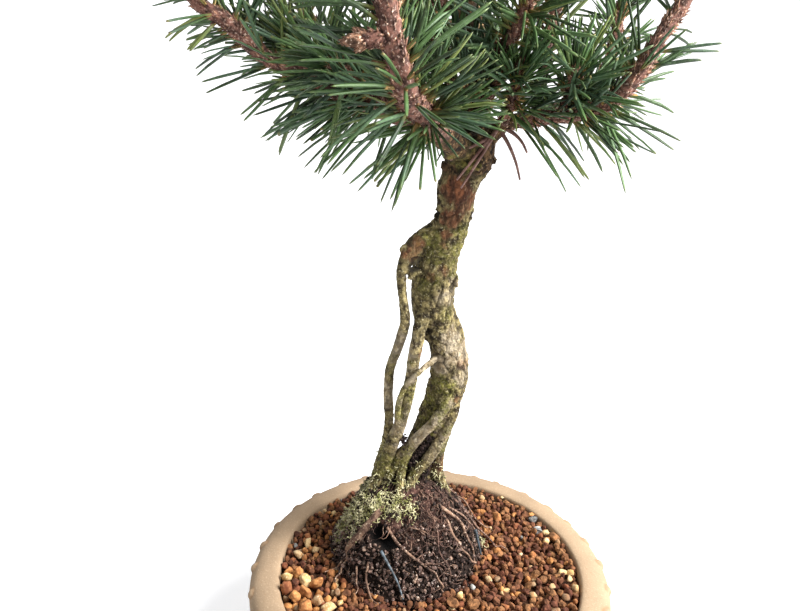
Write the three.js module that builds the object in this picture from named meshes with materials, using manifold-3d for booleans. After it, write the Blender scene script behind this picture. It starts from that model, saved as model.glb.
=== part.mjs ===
// Japanese black pine bonsai in a round studded pot.
// Millimetres, +Z up, origin at the centre of the pot's flat underside.
import * as THREE from 'three';
import { mergeVertices } from 'three/addons/utils/BufferGeometryUtils.js';
import Module from 'manifold-3d';

const wasm = await Module();
wasm.setup();

// Clearance between pieces that touch
const GAP = 0.35;

// Corners of a cut closer together than this become one
const MERGE_DISTANCE = 0.08;

// Pot
const POT_HEIGHT = 62;
const RIM_INNER_RADIUS = 65;
const SHOULDER_RADIUS = 76.5;
const SHOULDER_HEIGHT = 58;
const FOOT_RADIUS = 50;
const FLOOR_THICKNESS = 8;
const STUD_COUNT = 32;
const POT_SEGMENTS = STUD_COUNT;
const STUD_RADIUS = 2.2;
const STUD_HEIGHT = 1.4;
const STUD_LEVEL = 55.4;
const STUD_FIRST_ANGLE = THREE.MathUtils.degToRad(2.15);
const DRAIN_RADIUS = 6;
const DRAIN_DISTANCE = 26;
const DRAIN_COUNT = 2;

// Plastic screens over the drain holes
const SCREEN_SIDE = 17;
const SCREEN_THICKNESS = 1.2;
const SCREEN_MESH = 3;
const SCREEN_BAR = 1.3;

// Akadama bed
const SOIL_LEVEL = 57.6;
const GRAIN_SPACING = 9;
const GRAIN_RISE = 2.6;
const GRAIN_SHIFT = 0.7;
const BED_SLOPE = 0.012;
const FILL_TOP = 72;

// Root ball: [radius, height] from its underside up to the top of the mound
const BALL_PROFILE = [
  [30, 24], [36.5, 36], [36.5, 50], [34.8, 57], [32.5, 63], [29.5, 69], [26, 76],
  [22, 83], [17.5, 89], [11.5, 93.8], [5.5, 96.6],
];
const BALL_BOTTOM = 23;
const BALL_TOP = 97.5;
const BALL_FOOT = [-10, 12];
const BALL_CROWN = [-10.5, 18];
const BALL_SEGMENTS = 26;
const BALL_LUMP = 0.9;
const BALL_CRUMB = 1.5;

// Trunk and roots: [x, y, z, radius]
const TRUNK = [
  [-7, 18, 80, 6], [-6, 20.5, 90, 8.6], [-4, 22, 100, 8.3], [1, 19.5, 118, 7.9], [4.5, 17, 131.5, 7.6],
  [6.5, 14.5, 147, 7.6], [4.5, 12, 161.5, 7.5], [-0.5, 10, 172.5, 8], [-1.5, 8, 186, 8.3],
  [0, 6.5, 197.5, 7.4], [4, 4.5, 210.5, 6.8], [6, 2, 226.5, 7.2], [9.5, 1, 235, 9], [10.5, 0, 242, 8],
  [12, 1.5, 249, 5.6],
];
const ROOTS = [
  [[-1, 6, 207, 5], [-5.5, 4, 205.5, 4], [-10, 2, 203.5, 3], [-13, 0.5, 198.5, 2.2], [-14.5, 0, 192, 1.8],
    [-13, 1, 181.5, 1.8], [-12, 2.5, 172, 1.9], [-14.5, 5, 161.5, 1.9], [-18, 7.5, 150.5, 1.9],
    [-19, 10.5, 139, 2], [-18.5, 14, 123, 2], [-20, 17.5, 109, 2.4], [-23, 19.5, 94, 2.9],
    [-22, 18, 82, 1.6]],
  [[-1, 7, 183, 4], [-4.5, 4, 176, 3.2], [-7, 2, 168, 2.7], [-8.5, 2, 158.5, 2.5], [-10.5, 5, 141.5, 2.5],
    [-14, 8, 124, 2.7], [-18.5, 11, 109, 3], [-22.5, 13, 97, 3.3], [-25, 12, 88, 2.6], [-24, 11, 79, 1.4]],
  [[2, 9, 156.5, 1.4], [-2, 4.5, 154, 1.1], [-7.5, -1.2, 151.5, 1.1], [-11.5, 0.2, 146, 1.1],
    [-14, 3.2, 137, 1.1], [-14.8, 6, 127, 1.5]],
  [[6.5, 13, 141, 3], [6, 9.5, 134.5, 2.4], [1.5, 7.2, 127.5, 2.2], [-4, 8, 120.5, 2.2],
    [-8.5, 9.5, 114, 2.5], [-14, 12, 106.5, 2.8], [-17.5, 13.5, 98.5, 3], [-19.5, 12, 91, 2.6],
    [-18, 12, 82, 1.4]],
  [[9, 16, 135, 3.2], [9, 13.5, 129, 2.8], [7.5, 12.5, 123.5, 2.5], [3.5, 11.5, 115, 2.4],
    [-1.5, 10.5, 107, 2.4], [-6, 10.5, 100.5, 2.4], [-9, 9, 95.5, 2.1], [-11, 7, 90, 1.8], [-10, 9, 80, 1]],
  [[5.5, 19, 128, 4], [6.2, 16.5, 120, 3], [4, 16, 110, 2.9], [3, 16.5, 99.5, 2.8], [5, 17, 91, 2.6],
    [8, 15, 84, 2.2], [8, 14, 74, 1.2]],
  [[-8, 10.5, 114.5, 1.6], [-10.8, 10.2, 108, 2], [-12.4, 11, 102, 2], [-13, 8.6, 96.5, 2],
    [-13, 5.8, 91.5, 1.9], [-11.8, 1.8, 87.5, 1.6], [-10, 3, 80, 0.9]],
  [[-16, 11, 96, 2], [-20.5, 4.5, 89.5, 2], [-27.5, 1, 80.5, 2], [-32.5, -1.5, 71.5, 2],
    [-34, -2.5, 64, 1.8], [-31, -2, 55, 1]],
];

// Boughs: path points are [x, y, z, radius], bare wood as far as the first number in
// sprays, then one leafy stem between each two of the numbers
const BOUGHS = [
  { name: 'left', sprays: [2, 4, 6, 8, 11], path: [
    [8, 0, 239, 6.5], [-2, -3, 246.5, 3.9], [-16, -6, 250.5, 3.2], [-29.5, -8, 254, 2.8],
    [-39.5, -8, 259, 2.6], [-49.5, -8, 263, 2.5], [-59.5, -8, 267.5, 2.4], [-67, -10, 273.5, 2.4],
    [-72.5, -12, 279, 2.3], [-80, -14, 283.5, 2.1], [-84, -14, 290, 1.9], [-86, -12, 300, 1.3]] },
  { name: 'front', sprays: [2, 3, 5, 7], path: [
    [7, -1, 238.5, 6], [-3, -22, 246.5, 4], [-10, -42, 253, 3.5], [-14.5, -60, 259, 3.1],
    [-17, -64, 268, 2.8], [-19.5, -64, 279.5, 2.7], [-21, -62, 291, 2.3], [-22, -58, 302, 1.4]] },
  { name: 'right', sprays: [2.5, 4, 6, 8, 10], path: [
    [10, 0, 240, 6], [23, 0, 248, 3.5], [33, -2, 250, 2.9], [44, -8, 252, 2.6], [52, -14, 255, 2.5],
    [56.5, -18, 260, 2.5], [61.5, -20, 268.5, 2.4], [65.5, -20, 276.5, 2.2], [71, -18, 284.5, 2.1],
    [76, -14, 295.5, 1.8], [79, -10, 307, 1.2]] },
  { name: 'inner_right', sprays: [2, 4, 5], path: [
    [31, -1, 249, 2.2], [34, 8, 256, 2.3], [36, 11, 270, 2], [38, 14, 283.5, 1.9],
    [40.5, 16, 293.5, 1.8], [42, 18, 308, 1.2]] },
  { name: 'back_left', sprays: [1, 2, 3, 4, 6], path: [
    [7, 2, 240, 5.5], [-4.5, 18, 251.5, 3.2], [-20, 34, 260.5, 2.8], [-39, 46, 272, 2.5],
    [-53.5, 52, 285.5, 2.4], [-61.5, 54, 302.5, 2], [-64.5, 54, 315, 1.3]] },
  { name: 'back', sprays: [1, 2, 3, 5], path: [
    [10, 2, 240, 5.5], [13.5, 26, 253.5, 3], [16.5, 44, 265, 2.6], [16.5, 58, 279.5, 2.5],
    [13, 66, 296, 2.1], [10, 68, 309.5, 1.4]] },
  { name: 'back_right', sprays: [1, 2, 3, 5], path: [
    [32, -1, 249.5, 2.2], [46, 16, 255, 2.4], [58.5, 32, 261, 2.3], [67.5, 44, 268.5, 2.2],
    [72.5, 52, 282, 2], [74.5, 56, 297.5, 1.3]] },
  { name: 'leader', sprays: [6, 8], path: [
    [10.5, 0, 242, 8], [12, 3, 252.5, 5], [13, 5, 262.5, 4.2], [11, 6, 274, 3.6], [7.5, 6, 287, 3.1],
    [5.5, 4, 296, 2.7], [5.5, 3, 301, 2.3], [6, 2, 309, 1.9], [6, 0, 318, 1.3]] },
  { name: 'upper_left', sprays: [1, 2, 4], path: [
    [8.5, 6, 283, 2.3], [-4, 5, 287.5, 2.2], [-22, 3, 297, 2], [-33, 0, 309, 1.8], [-37, -2, 320, 1.2]] },
  { name: 'upper_front', sprays: [1, 2, 3], path: [
    [6, 4.5, 293, 2.1], [13, -8, 299, 2], [25, -20, 307, 1.8], [32, -28, 320, 1.2]] },
  { name: 'middle_front', sprays: [1, 3], path: [
    [12.5, 5, 266, 2.4], [16, -9, 271, 2.1], [20, -20, 277, 1.8], [23, -28, 287, 1.2]] },
  { name: 'middle_back', sprays: [1, 3], path: [
    [10.5, 6, 277, 2.3], [-1, 19, 282, 2], [-8, 28, 288, 1.8], [-12, 34, 299, 1.2]] },
];

// Needles, in pairs. They lean out from their stem, and less so round its bud.
const PAIR_SPACING = 3.8;
const NEEDLE_LENGTH = 25;
const NEEDLE_WIDTH = 1.35;
const NEEDLE_CLEARANCE = 0.45;
const NEEDLE_RADIUS = NEEDLE_WIDTH / Math.sqrt(3);
const NEEDLE_BOW = 0.03;
const PAIR_SPREAD = THREE.MathUtils.degToRad(6.5);
const GOLDEN_ANGLE = THREE.MathUtils.degToRad(137.5);
const SIDE_LEAN = 66;
const BUD_LEAN = 24;
const LEAN_SCATTER = 14;
const BUD_PAIRS = 3;
const PLACING_TRIES = 26;
const SHORTER_AFTER = 14;
const SHORTER = 0.75;
const STEM_STANDS = 60;
const NEARBY = 70;

// Colours
const CLAY = 0xd8bd9a;
const AKADAMA = 0x9a5f3c;
const PEAT = 0x3a2c24;
const BARK = 0x7c7450;
const SHOOT_AND_NEEDLES = 0x3f6a4e;
const SCREEN_PLASTIC = 0x2b2b2b;

function seededRandom(seed) {
  let state = seed;
  return () => {
    state = (state + 0x6d2b79f5) | 0;
    let mixed = Math.imul(state ^ (state >>> 15), 1 | state);
    mixed = (mixed + Math.imul(mixed ^ (mixed >>> 7), 61 | mixed)) ^ mixed;
    return ((mixed ^ (mixed >>> 14)) >>> 0) / 4294967296;
  };
}

// A closed geometry as a solid that can be joined and cut
function solidOf(geometry) {
  const bare = geometry.clone();
  bare.deleteAttribute('normal');
  bare.deleteAttribute('uv');
  const merged = mergeVertices(bare, 1e-5);
  return new wasm.Manifold(new wasm.Mesh({
    numProp: 3,
    vertProperties: new Float32Array(merged.attributes.position.array),
    triVerts: new Uint32Array(merged.index.array),
  }));
}

function largestBody(solid) {
  const bodies = solid.simplify(MERGE_DISTANCE).decompose();
  return bodies.reduce((a, b) => (b.volume() > a.volume() ? b : a));
}

function namedMesh(name, solid, colour, roughness) {
  const { numProp, vertProperties, triVerts } = largestBody(solid).getMesh();
  const positions = new Float32Array((vertProperties.length / numProp) * 3);
  for (let i = 0; i < positions.length / 3; i += 1) {
    positions.set(vertProperties.subarray(i * numProp, i * numProp + 3), i * 3);
  }
  const geometry = new THREE.BufferGeometry();
  geometry.setAttribute('position', new THREE.BufferAttribute(positions, 3));
  geometry.setIndex(Array.from(triVerts));
  geometry.computeVertexNormals();
  const material = new THREE.MeshStandardMaterial({ color: colour, roughness, metalness: 0 });
  const mesh = new THREE.Mesh(geometry, material);
  mesh.name = name;
  return mesh;
}

// A closed skin over rings of equal point counts, from the first ring to the last
function skinOver(rings, firstCentre, lastCentre) {
  const sides = rings[0].length;
  const positions = rings.flat().flatMap((p) => [p.x, p.y, p.z]);
  const faces = [];
  const at = (ring, side) => ring * sides + (side % sides);
  for (let ring = 0; ring < rings.length - 1; ring += 1) {
    for (let side = 0; side < sides; side += 1) {
      faces.push(at(ring, side), at(ring, side + 1), at(ring + 1, side));
      faces.push(at(ring, side + 1), at(ring + 1, side + 1), at(ring + 1, side));
    }
  }
  const first = positions.length / 3;
  positions.push(firstCentre.x, firstCentre.y, firstCentre.z, lastCentre.x, lastCentre.y, lastCentre.z);
  for (let side = 0; side < sides; side += 1) {
    faces.push(first, at(0, side + 1), at(0, side));
    faces.push(first + 1, at(rings.length - 1, side), at(rings.length - 1, side + 1));
  }
  const geometry = new THREE.BufferGeometry();
  geometry.setAttribute('position', new THREE.Float32BufferAttribute(positions, 3));
  geometry.setIndex(faces);
  return geometry;
}

// The centre line and radius of a limb through its path points
class LimbLine {
  constructor(path) {
    this.curve = new THREE.CatmullRomCurve3(path.map(([x, y, z]) => new THREE.Vector3(x, y, z)));
    this.radii = path.map((point) => point[3]);
    this.spans = path.length - 1;
  }

  // place counts path points, and may lie between two of them
  pointAt(place) {
    return this.curve.getPoint(place / this.spans);
  }

  directionAt(place) {
    return this.curve.getTangent(place / this.spans);
  }

  radiusAt(place) {
    const span = Math.min(Math.floor(place), this.spans - 1);
    const part = place - span;
    return THREE.MathUtils.lerp(this.radii[span], this.radii[span + 1], part);
  }
}

// Points along a limb from one place to another, each with a frame that doesn't twist
function stations(line, from, to, count) {
  const list = [];
  let across = new THREE.Vector3(0.2, 0.9, 0.4);
  for (let i = 0; i <= count; i += 1) {
    const place = from + ((to - from) * i) / count;
    const along = line.directionAt(place);
    across = across.clone().addScaledVector(along, -across.dot(along)).normalize();
    list.push({
      place,
      centre: line.pointAt(place),
      along,
      across,
      beside: along.clone().cross(across),
      radius: line.radiusAt(place),
    });
  }
  return list;
}

// A limb with round or knobbly sections. grow widens it, for the hole that it stands in.
function limb(line, { from = 0, to = line.spans, sides, step, knobs = 0, grow = 0, seed = 1 }) {
  const random = seededRandom(seed);
  const length = lengthBetween(line, from, to);
  const count = Math.max(2, Math.round(length / step));
  const rings = stations(line, from, to, count).map(({ centre, across, beside, radius }) => {
    const ring = [];
    for (let side = 0; side < sides; side += 1) {
      const angle = (side / sides) * 2 * Math.PI;
      const knob = 1 + knobs * (2 * random() - 1);
      const reach = radius * knob + grow;
      ring.push(centre.clone()
        .addScaledVector(across, reach * Math.cos(angle))
        .addScaledVector(beside, reach * Math.sin(angle)));
    }
    return ring;
  });
  return skinOver(rings, line.pointAt(from), line.pointAt(to));
}

function lengthBetween(line, from, to) {
  const samples = 24;
  let length = 0;
  let before = line.pointAt(from);
  for (let i = 1; i <= samples; i += 1) {
    const next = line.pointAt(from + ((to - from) * i) / samples);
    length += next.distanceTo(before);
    before = next;
  }
  return length;
}

function lathe(profile, segments) {
  const geometry = new THREE.LatheGeometry(profile.map(([r, z]) => new THREE.Vector2(r, z)), segments);
  geometry.rotateX(Math.PI / 2);
  return geometry;
}

function cavityProfile(inset) {
  return [
    [0, FLOOR_THICKNESS + inset], [45 - inset, FLOOR_THICKNESS + inset], [57 - inset, 24],
    [63.5 - inset, 44], [RIM_INNER_RADIUS - inset, POT_HEIGHT - 1.2],
  ];
}

function pot() {
  const outside = [
    [0, 0], [FOOT_RADIUS, 0], [FOOT_RADIUS + 1.5, 1.5], [63, 18], [71.5, 36],
    [SHOULDER_RADIUS - 0.6, 52.6], [SHOULDER_RADIUS, SHOULDER_HEIGHT], [74.8, 60.4], [71, 61.6],
    [RIM_INNER_RADIUS + 1.2, POT_HEIGHT],
  ];
  const profile = [...outside, ...cavityProfile(0).reverse()];
  const turned = lathe(profile, POT_SEGMENTS);
  turned.rotateZ(STUD_FIRST_ANGLE - Math.PI / POT_SEGMENTS);
  let body = solidOf(turned);
  for (let i = 0; i < STUD_COUNT; i += 1) {
    const angle = STUD_FIRST_ANGLE + (i / STUD_COUNT) * 2 * Math.PI;
    const stud = new THREE.CylinderGeometry(STUD_RADIUS * 0.5, STUD_RADIUS, 2 * STUD_HEIGHT, 5);
    stud.rotateZ(-Math.PI / 2);
    stud.translate(SHOULDER_RADIUS - 0.6, 0, STUD_LEVEL);
    stud.rotateZ(angle);
    body = body.add(solidOf(stud));
  }
  drainPlaces().forEach(([x, y]) => {
    const hole = new THREE.CylinderGeometry(DRAIN_RADIUS, DRAIN_RADIUS, FLOOR_THICKNESS * 4, 12);
    hole.rotateX(Math.PI / 2);
    hole.translate(x, y, 0);
    body = body.subtract(solidOf(hole));
  });
  return body;
}

function drainPlaces() {
  return Array.from({ length: DRAIN_COUNT }, (_, i) => {
    const angle = (i / DRAIN_COUNT) * 2 * Math.PI;
    return [DRAIN_DISTANCE * Math.cos(angle), DRAIN_DISTANCE * Math.sin(angle)];
  });
}

function screenBlock(x, y, grow) {
  const side = SCREEN_SIDE + 2 * grow;
  const block = new THREE.BoxGeometry(side, side, SCREEN_THICKNESS + 2 * grow);
  block.translate(x, y, FLOOR_THICKNESS + GAP + SCREEN_THICKNESS / 2);
  return solidOf(block);
}

function drainScreen(x, y) {
  let screen = screenBlock(x, y, 0);
  const pitch = (SCREEN_SIDE - SCREEN_BAR) / SCREEN_MESH;
  const open = pitch - SCREEN_BAR;
  for (let i = 0; i < SCREEN_MESH; i += 1) {
    for (let j = 0; j < SCREEN_MESH; j += 1) {
      const window = new THREE.BoxGeometry(open, open, SCREEN_THICKNESS * 4);
      const middle = (SCREEN_MESH - 1) / 2;
      window.translate(x + (i - middle) * pitch, y + (j - middle) * pitch, FLOOR_THICKNESS);
      screen = screen.subtract(solidOf(window));
    }
  }
  return screen;
}

// The root ball's skin. Its centre drifts from the foot to the crown of the mound.
function rootBall(grow) {
  const random = seededRandom(41);
  const rings = BALL_PROFILE.map(([radius, height]) => {
    const part = THREE.MathUtils.clamp((height - 57) / (BALL_TOP - 57), 0, 1);
    const x = THREE.MathUtils.lerp(BALL_FOOT[0], BALL_CROWN[0], part);
    const y = THREE.MathUtils.lerp(BALL_FOOT[1], BALL_CROWN[1], part);
    const ring = [];
    for (let side = 0; side < BALL_SEGMENTS; side += 1) {
      const angle = (side / BALL_SEGMENTS) * 2 * Math.PI;
      const lump = BALL_LUMP * (Math.sin(3 * angle + height / 9) + 0.6 * Math.sin(7 * angle - height / 5));
      const crumb = BALL_CRUMB * (2 * random() - 1);
      const reach = radius + lump + crumb + grow;
      ring.push(new THREE.Vector3(x + reach * Math.cos(angle), y + reach * Math.sin(angle), height));
    }
    return ring;
  });
  const bottom = new THREE.Vector3(BALL_FOOT[0], BALL_FOOT[1], BALL_BOTTOM - 1.5 * grow);
  const top = new THREE.Vector3(BALL_CROWN[0], BALL_CROWN[1], BALL_TOP + 3 * grow);
  return solidOf(skinOver(rings, bottom, top));
}

// A slab whose top is covered in grains: every third point of a triangular lattice is a
// grain's top, and the points round it lie in the hollows
function grainSlab() {
  const random = seededRandom(7);
  const half = Math.ceil((RIM_INNER_RADIUS + GRAIN_SPACING) / (GRAIN_SPACING * 0.5));
  const spacing = GRAIN_SPACING / Math.sqrt(3);
  const size = 2 * half + 1;
  const positions = [];
  for (let row = -half; row <= half; row += 1) {
    for (let column = -half; column <= half; column += 1) {
      const isGrain = (((row - column) % 3) + 3) % 3 === 0;
      const rise = isGrain ? GRAIN_RISE * (0.55 + 0.6 * random()) : -GRAIN_RISE * 0.35 * random();
      const x = (column + row / 2) * spacing + GRAIN_SHIFT * (random() - 0.5);
      const y = row * spacing * Math.sqrt(0.75) + GRAIN_SHIFT * (random() - 0.5);
      positions.push(x, y, SOIL_LEVEL - BED_SLOPE * x + rise);
    }
  }
  const topCount = positions.length / 3;
  for (let i = 0; i < topCount; i += 1) {
    positions.push(positions[3 * i], positions[3 * i + 1], 0);
  }
  const faces = [];
  const at = (row, column) => row * size + column;
  for (let row = 0; row < size - 1; row += 1) {
    for (let column = 0; column < size - 1; column += 1) {
      const corners = [at(row, column), at(row, column + 1), at(row + 1, column), at(row + 1, column + 1)];
      const [a, b, c, d] = corners;
      const [e, f, g, h] = corners.map((corner) => corner + topCount);
      faces.push(a, b, c, b, d, c, e, g, f, f, g, h);
    }
  }
  for (let i = 0; i < size - 1; i += 1) {
    const edges = [
      [at(0, i), at(0, i + 1)],
      [at(i, size - 1), at(i + 1, size - 1)],
      [at(size - 1, i + 1), at(size - 1, i)],
      [at(i + 1, 0), at(i, 0)],
    ];
    edges.forEach(([a, b]) => faces.push(a, a + topCount, b, b, a + topCount, b + topCount));
  }
  const geometry = new THREE.BufferGeometry();
  geometry.setAttribute('position', new THREE.Float32BufferAttribute(positions, 3));
  geometry.setIndex(faces);
  return solidOf(geometry);
}

function akadamaBed() {
  const fill = lathe([...cavityProfile(GAP), [RIM_INNER_RADIUS - GAP, FILL_TOP], [0, FILL_TOP]], POT_SEGMENTS);
  fill.rotateZ(STUD_FIRST_ANGLE - Math.PI / POT_SEGMENTS);
  let bed = solidOf(fill).intersect(grainSlab()).subtract(rootBall(GAP));
  drainPlaces().forEach(([x, y]) => {
    bed = bed.subtract(screenBlock(x, y, GAP));
  });
  return bed;
}

const trunkLine = new LimbLine(TRUNK);
const rootLines = ROOTS.map((path) => new LimbLine(path));
const boughs = BOUGHS.map((bough) => ({ ...bough, line: new LimbLine(bough.path) }));

// Everything woody below the leafy stems. grow widens the trunk and roots alone.
function lowerWood(grow) {
  let wood = solidOf(limb(trunkLine, { sides: 11, step: 7.5, knobs: 0.08, grow, seed: 3 }));
  rootLines.forEach((line, i) => {
    const shape = { sides: 5, step: 8, knobs: 0.06, grow, seed: 20 + i };
    wood = wood.add(solidOf(limb(line, shape)));
  });
  return wood;
}

function treeWood() {
  let wood = lowerWood(0);
  boughs.forEach(({ line, sprays }, i) => {
    const shape = { to: sprays[0], sides: 7, step: 9, knobs: 0.06, seed: 60 + i };
    wood = wood.add(solidOf(limb(line, shape)));
  });
  return wood;
}

// One needle: three-sided, gently bent, ending in a point
function needle({ root, bend, tip, turn }) {
  const along = tip.clone().sub(root).normalize();
  const aside = Math.abs(along.z) < 0.9 ? new THREE.Vector3(0, 0, 1) : new THREE.Vector3(1, 0, 0);
  const across = aside.cross(along).normalize();
  const beside = along.clone().cross(across);
  const ring = (centre, scale) => [0, 1, 2].map((corner) => {
    const angle = turn + (corner / 3) * 2 * Math.PI;
    return centre.clone()
      .addScaledVector(across, NEEDLE_RADIUS * scale * Math.cos(angle))
      .addScaledVector(beside, NEEDLE_RADIUS * scale * Math.sin(angle));
  });
  const rings = [ring(root, 0.9), ring(bend, 1)];
  const positions = [...rings.flat(), tip].flatMap((p) => [p.x, p.y, p.z]);
  const faces = [0, 2, 1];
  for (let i = 0; i < 3; i += 1) {
    const j = (i + 1) % 3;
    faces.push(i, j, 3 + i, j, 3 + j, 3 + i, 3 + i, 3 + j, 6);
  }
  const geometry = new THREE.BufferGeometry();
  geometry.setAttribute('position', new THREE.Float32BufferAttribute(positions, 3));
  geometry.setIndex(faces);
  return geometry;
}

// Shortest distance between two straight stretches
function distanceBetween(a, b) {
  const along = a.end.clone().sub(a.start);
  const beside = b.end.clone().sub(b.start);
  const apart = a.start.clone().sub(b.start);
  const aa = along.dot(along);
  const bb = beside.dot(beside);
  const ab = along.dot(beside);
  const ac = along.dot(apart);
  const bc = beside.dot(apart);
  const det = aa * bb - ab * ab;
  const clamp = THREE.MathUtils.clamp;
  let s = det > 1e-9 ? clamp((ab * bc - bb * ac) / det, 0, 1) : 0;
  let t = (ab * s + bc) / bb;
  if (t < 0 || t > 1) {
    t = clamp(t, 0, 1);
    s = clamp((ab * t - ac) / aa, 0, 1);
  }
  return a.start.clone().addScaledVector(along, s)
    .distanceTo(b.start.clone().addScaledVector(beside, t));
}

// The room that limbs and needles take up, as straight stretches with a radius
const taken = [];

function takeLimb(node, line, from, to) {
  const count = Math.max(2, Math.round(lengthBetween(line, from, to) / 4));
  const list = stations(line, from, to, count);
  for (let i = 0; i < list.length - 1; i += 1) {
    const radius = Math.max(list[i].radius, list[i + 1].radius) * 1.07;
    taken.push({ node, start: list[i].centre, end: list[i + 1].centre, radius });
  }
}

function isClear(node, stretches) {
  return stretches.every((stretch) => taken.every((other) => {
    if (other.node === node) {
      return true;
    }
    if (stretch.start.distanceToSquared(other.start) > NEARBY * NEARBY) {
      return true;
    }
    const room = stretch.radius + other.radius + NEEDLE_CLEARANCE;
    return distanceBetween(stretch, other) > room;
  }));
}

// The two needles of one bundle, spread a little apart
function needlePair(station, angle, lean, length, random) {
  const out = station.across.clone().multiplyScalar(Math.cos(angle))
    .addScaledVector(station.beside, Math.sin(angle));
  const direction = station.along.clone().multiplyScalar(Math.cos(lean))
    .addScaledVector(out, Math.sin(lean));
  const spreadAxis = direction.clone().cross(out).normalize()
    .applyAxisAngle(direction, random() * Math.PI);
  const sideways = spreadAxis.clone().cross(direction);
  const middle = station.centre.clone().addScaledVector(out, station.radius * 0.35);
  return [-1, 1].map((hand) => {
    const turned = hand * PAIR_SPREAD * (0.7 + 0.6 * random());
    const own = direction.clone().applyAxisAngle(spreadAxis, turned);
    const root = middle.clone().addScaledVector(sideways, hand * NEEDLE_WIDTH * 0.62);
    const ownLength = length * (0.93 + 0.14 * random());
    const bow = out.clone().multiplyScalar(ownLength * NEEDLE_BOW);
    return {
      root: root.clone().addScaledVector(own, -0.2),
      bend: root.clone().addScaledVector(own, ownLength * 0.5).add(bow),
      tip: root.clone().addScaledVector(own, ownLength),
      turn: random() * Math.PI,
    };
  });
}

function stretchesOf(pair) {
  return pair.flatMap(({ root, bend, tip }) => [
    { start: root, end: bend, radius: NEEDLE_RADIUS },
    { start: bend, end: tip, radius: NEEDLE_RADIUS * 0.8 },
  ]);
}

// One leafy stem: its core and as many needle pairs as find room
function spray(node, line, from, to, isTip, seed) {
  const random = seededRandom(seed);
  const length = lengthBetween(line, from, to);
  const inset = (0.5 * GAP * (to - from)) / length;
  const core = { from: from + inset, to: to - inset, sides: 5, step: 12, seed };
  let body = solidOf(limb(line, core));
  const pairCount = Math.round(length / PAIR_SPACING) + (isTip ? BUD_PAIRS : 0);
  const stands = stations(line, from, to, STEM_STANDS);
  for (let i = 0; i < pairCount; i += 1) {
    const part = isTip ? Math.min(1, (i + 0.6) / (pairCount - 2)) : (i + 0.5) / pairCount;
    const station = stands[Math.round(part * (STEM_STANDS - 2)) + (isTip ? 0 : 1)];
    for (let attempt = 0; attempt < PLACING_TRIES; attempt += 1) {
      const shift = attempt === 0 ? 0 : (random() - 0.5) * 0.25 * attempt;
      const angle = i * GOLDEN_ANGLE + shift + 0.3 * random();
      const steep = isTip ? THREE.MathUtils.lerp(SIDE_LEAN, BUD_LEAN, part ** 2.5) : SIDE_LEAN;
      const lean = THREE.MathUtils.degToRad(steep + LEAN_SCATTER * (random() - 0.5));
      const shorter = attempt > SHORTER_AFTER ? SHORTER : 1;
      const reach = NEEDLE_LENGTH * (0.9 + 0.24 * random()) * shorter;
      const pair = needlePair(station, angle, lean, reach, random);
      const stretches = stretchesOf(pair);
      if (isClear(node, stretches)) {
        pair.forEach((one) => {
          body = body.add(solidOf(needle(one)));
        });
        stretches.forEach((stretch) => taken.push({ node, ...stretch }));
        break;
      }
    }
  }
  return body;
}

const part = new THREE.Group();
const wood = treeWood();
const ballWithHoles = rootBall(0).subtract(lowerWood(GAP));
part.add(namedMesh('pot', pot(), CLAY, 0.75));
drainPlaces().forEach(([x, y], i) => {
  part.add(namedMesh(`drain_screen_${i + 1}`, drainScreen(x, y), SCREEN_PLASTIC, 0.5));
});
part.add(namedMesh('akadama_bed', akadamaBed(), AKADAMA, 0.95));
part.add(namedMesh('root_ball', ballWithHoles, PEAT, 1));
part.add(namedMesh('trunk_roots_and_branches', wood, BARK, 0.9));

takeLimb('trunk', trunkLine, 0, trunkLine.spans);
rootLines.forEach((line) => takeLimb('trunk', line, 0, line.spans));
const leafyStems = [];
boughs.forEach(({ name, line, sprays }) => {
  takeLimb('trunk', line, 0, sprays[0]);
  sprays.slice(0, -1).forEach((from, i) => {
    const node = `spray_${name}_${i + 1}`;
    const to = sprays[i + 1];
    takeLimb(node, line, from, to);
    leafyStems.push({ node, line, from, to, isTip: i === sprays.length - 2 });
  });
});
leafyStems.forEach(({ node, line, from, to, isTip }, i) => {
  part.add(namedMesh(node, spray(node, line, from, to, isTip, 200 + i), SHOOT_AND_NEEDLES, 0.6));
});

export default part;
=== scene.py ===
"""A Japanese black pine bonsai in a round studded pot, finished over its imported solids.

Lengths in this file are in millimetres, and MM turns them into Blender's metres.
"""
import math
from itertools import product

import bmesh
import bpy
import numpy as np
from bpy.props import FloatProperty, FloatVectorProperty, IntProperty, PointerProperty
from mathutils import Matrix, Vector
from mathutils.kdtree import KDTree


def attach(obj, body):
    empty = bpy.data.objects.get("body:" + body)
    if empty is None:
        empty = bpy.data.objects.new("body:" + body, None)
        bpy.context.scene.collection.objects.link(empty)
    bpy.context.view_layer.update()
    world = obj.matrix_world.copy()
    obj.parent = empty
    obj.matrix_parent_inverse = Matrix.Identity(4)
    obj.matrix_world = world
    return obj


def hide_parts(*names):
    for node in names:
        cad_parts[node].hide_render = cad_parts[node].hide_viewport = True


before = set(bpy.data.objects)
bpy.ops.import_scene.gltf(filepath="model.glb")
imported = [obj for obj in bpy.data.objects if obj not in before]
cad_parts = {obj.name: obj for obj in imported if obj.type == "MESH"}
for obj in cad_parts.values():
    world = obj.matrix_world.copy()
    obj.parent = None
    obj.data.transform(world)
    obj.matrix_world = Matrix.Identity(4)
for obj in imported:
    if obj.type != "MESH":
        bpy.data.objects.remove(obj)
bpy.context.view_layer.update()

bl_info = {
    "name": "Black Pine Bonsai",
    "version": (1, 0, 0),
    "blender": (4, 5, 0),
    "location": "3D View > Sidebar > Bonsai",
    "description": "Builds a Japanese black pine bonsai in a studded pot over its packed solids",
    "category": "Object",
}

MM = 0.001
BODY = "root"

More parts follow.
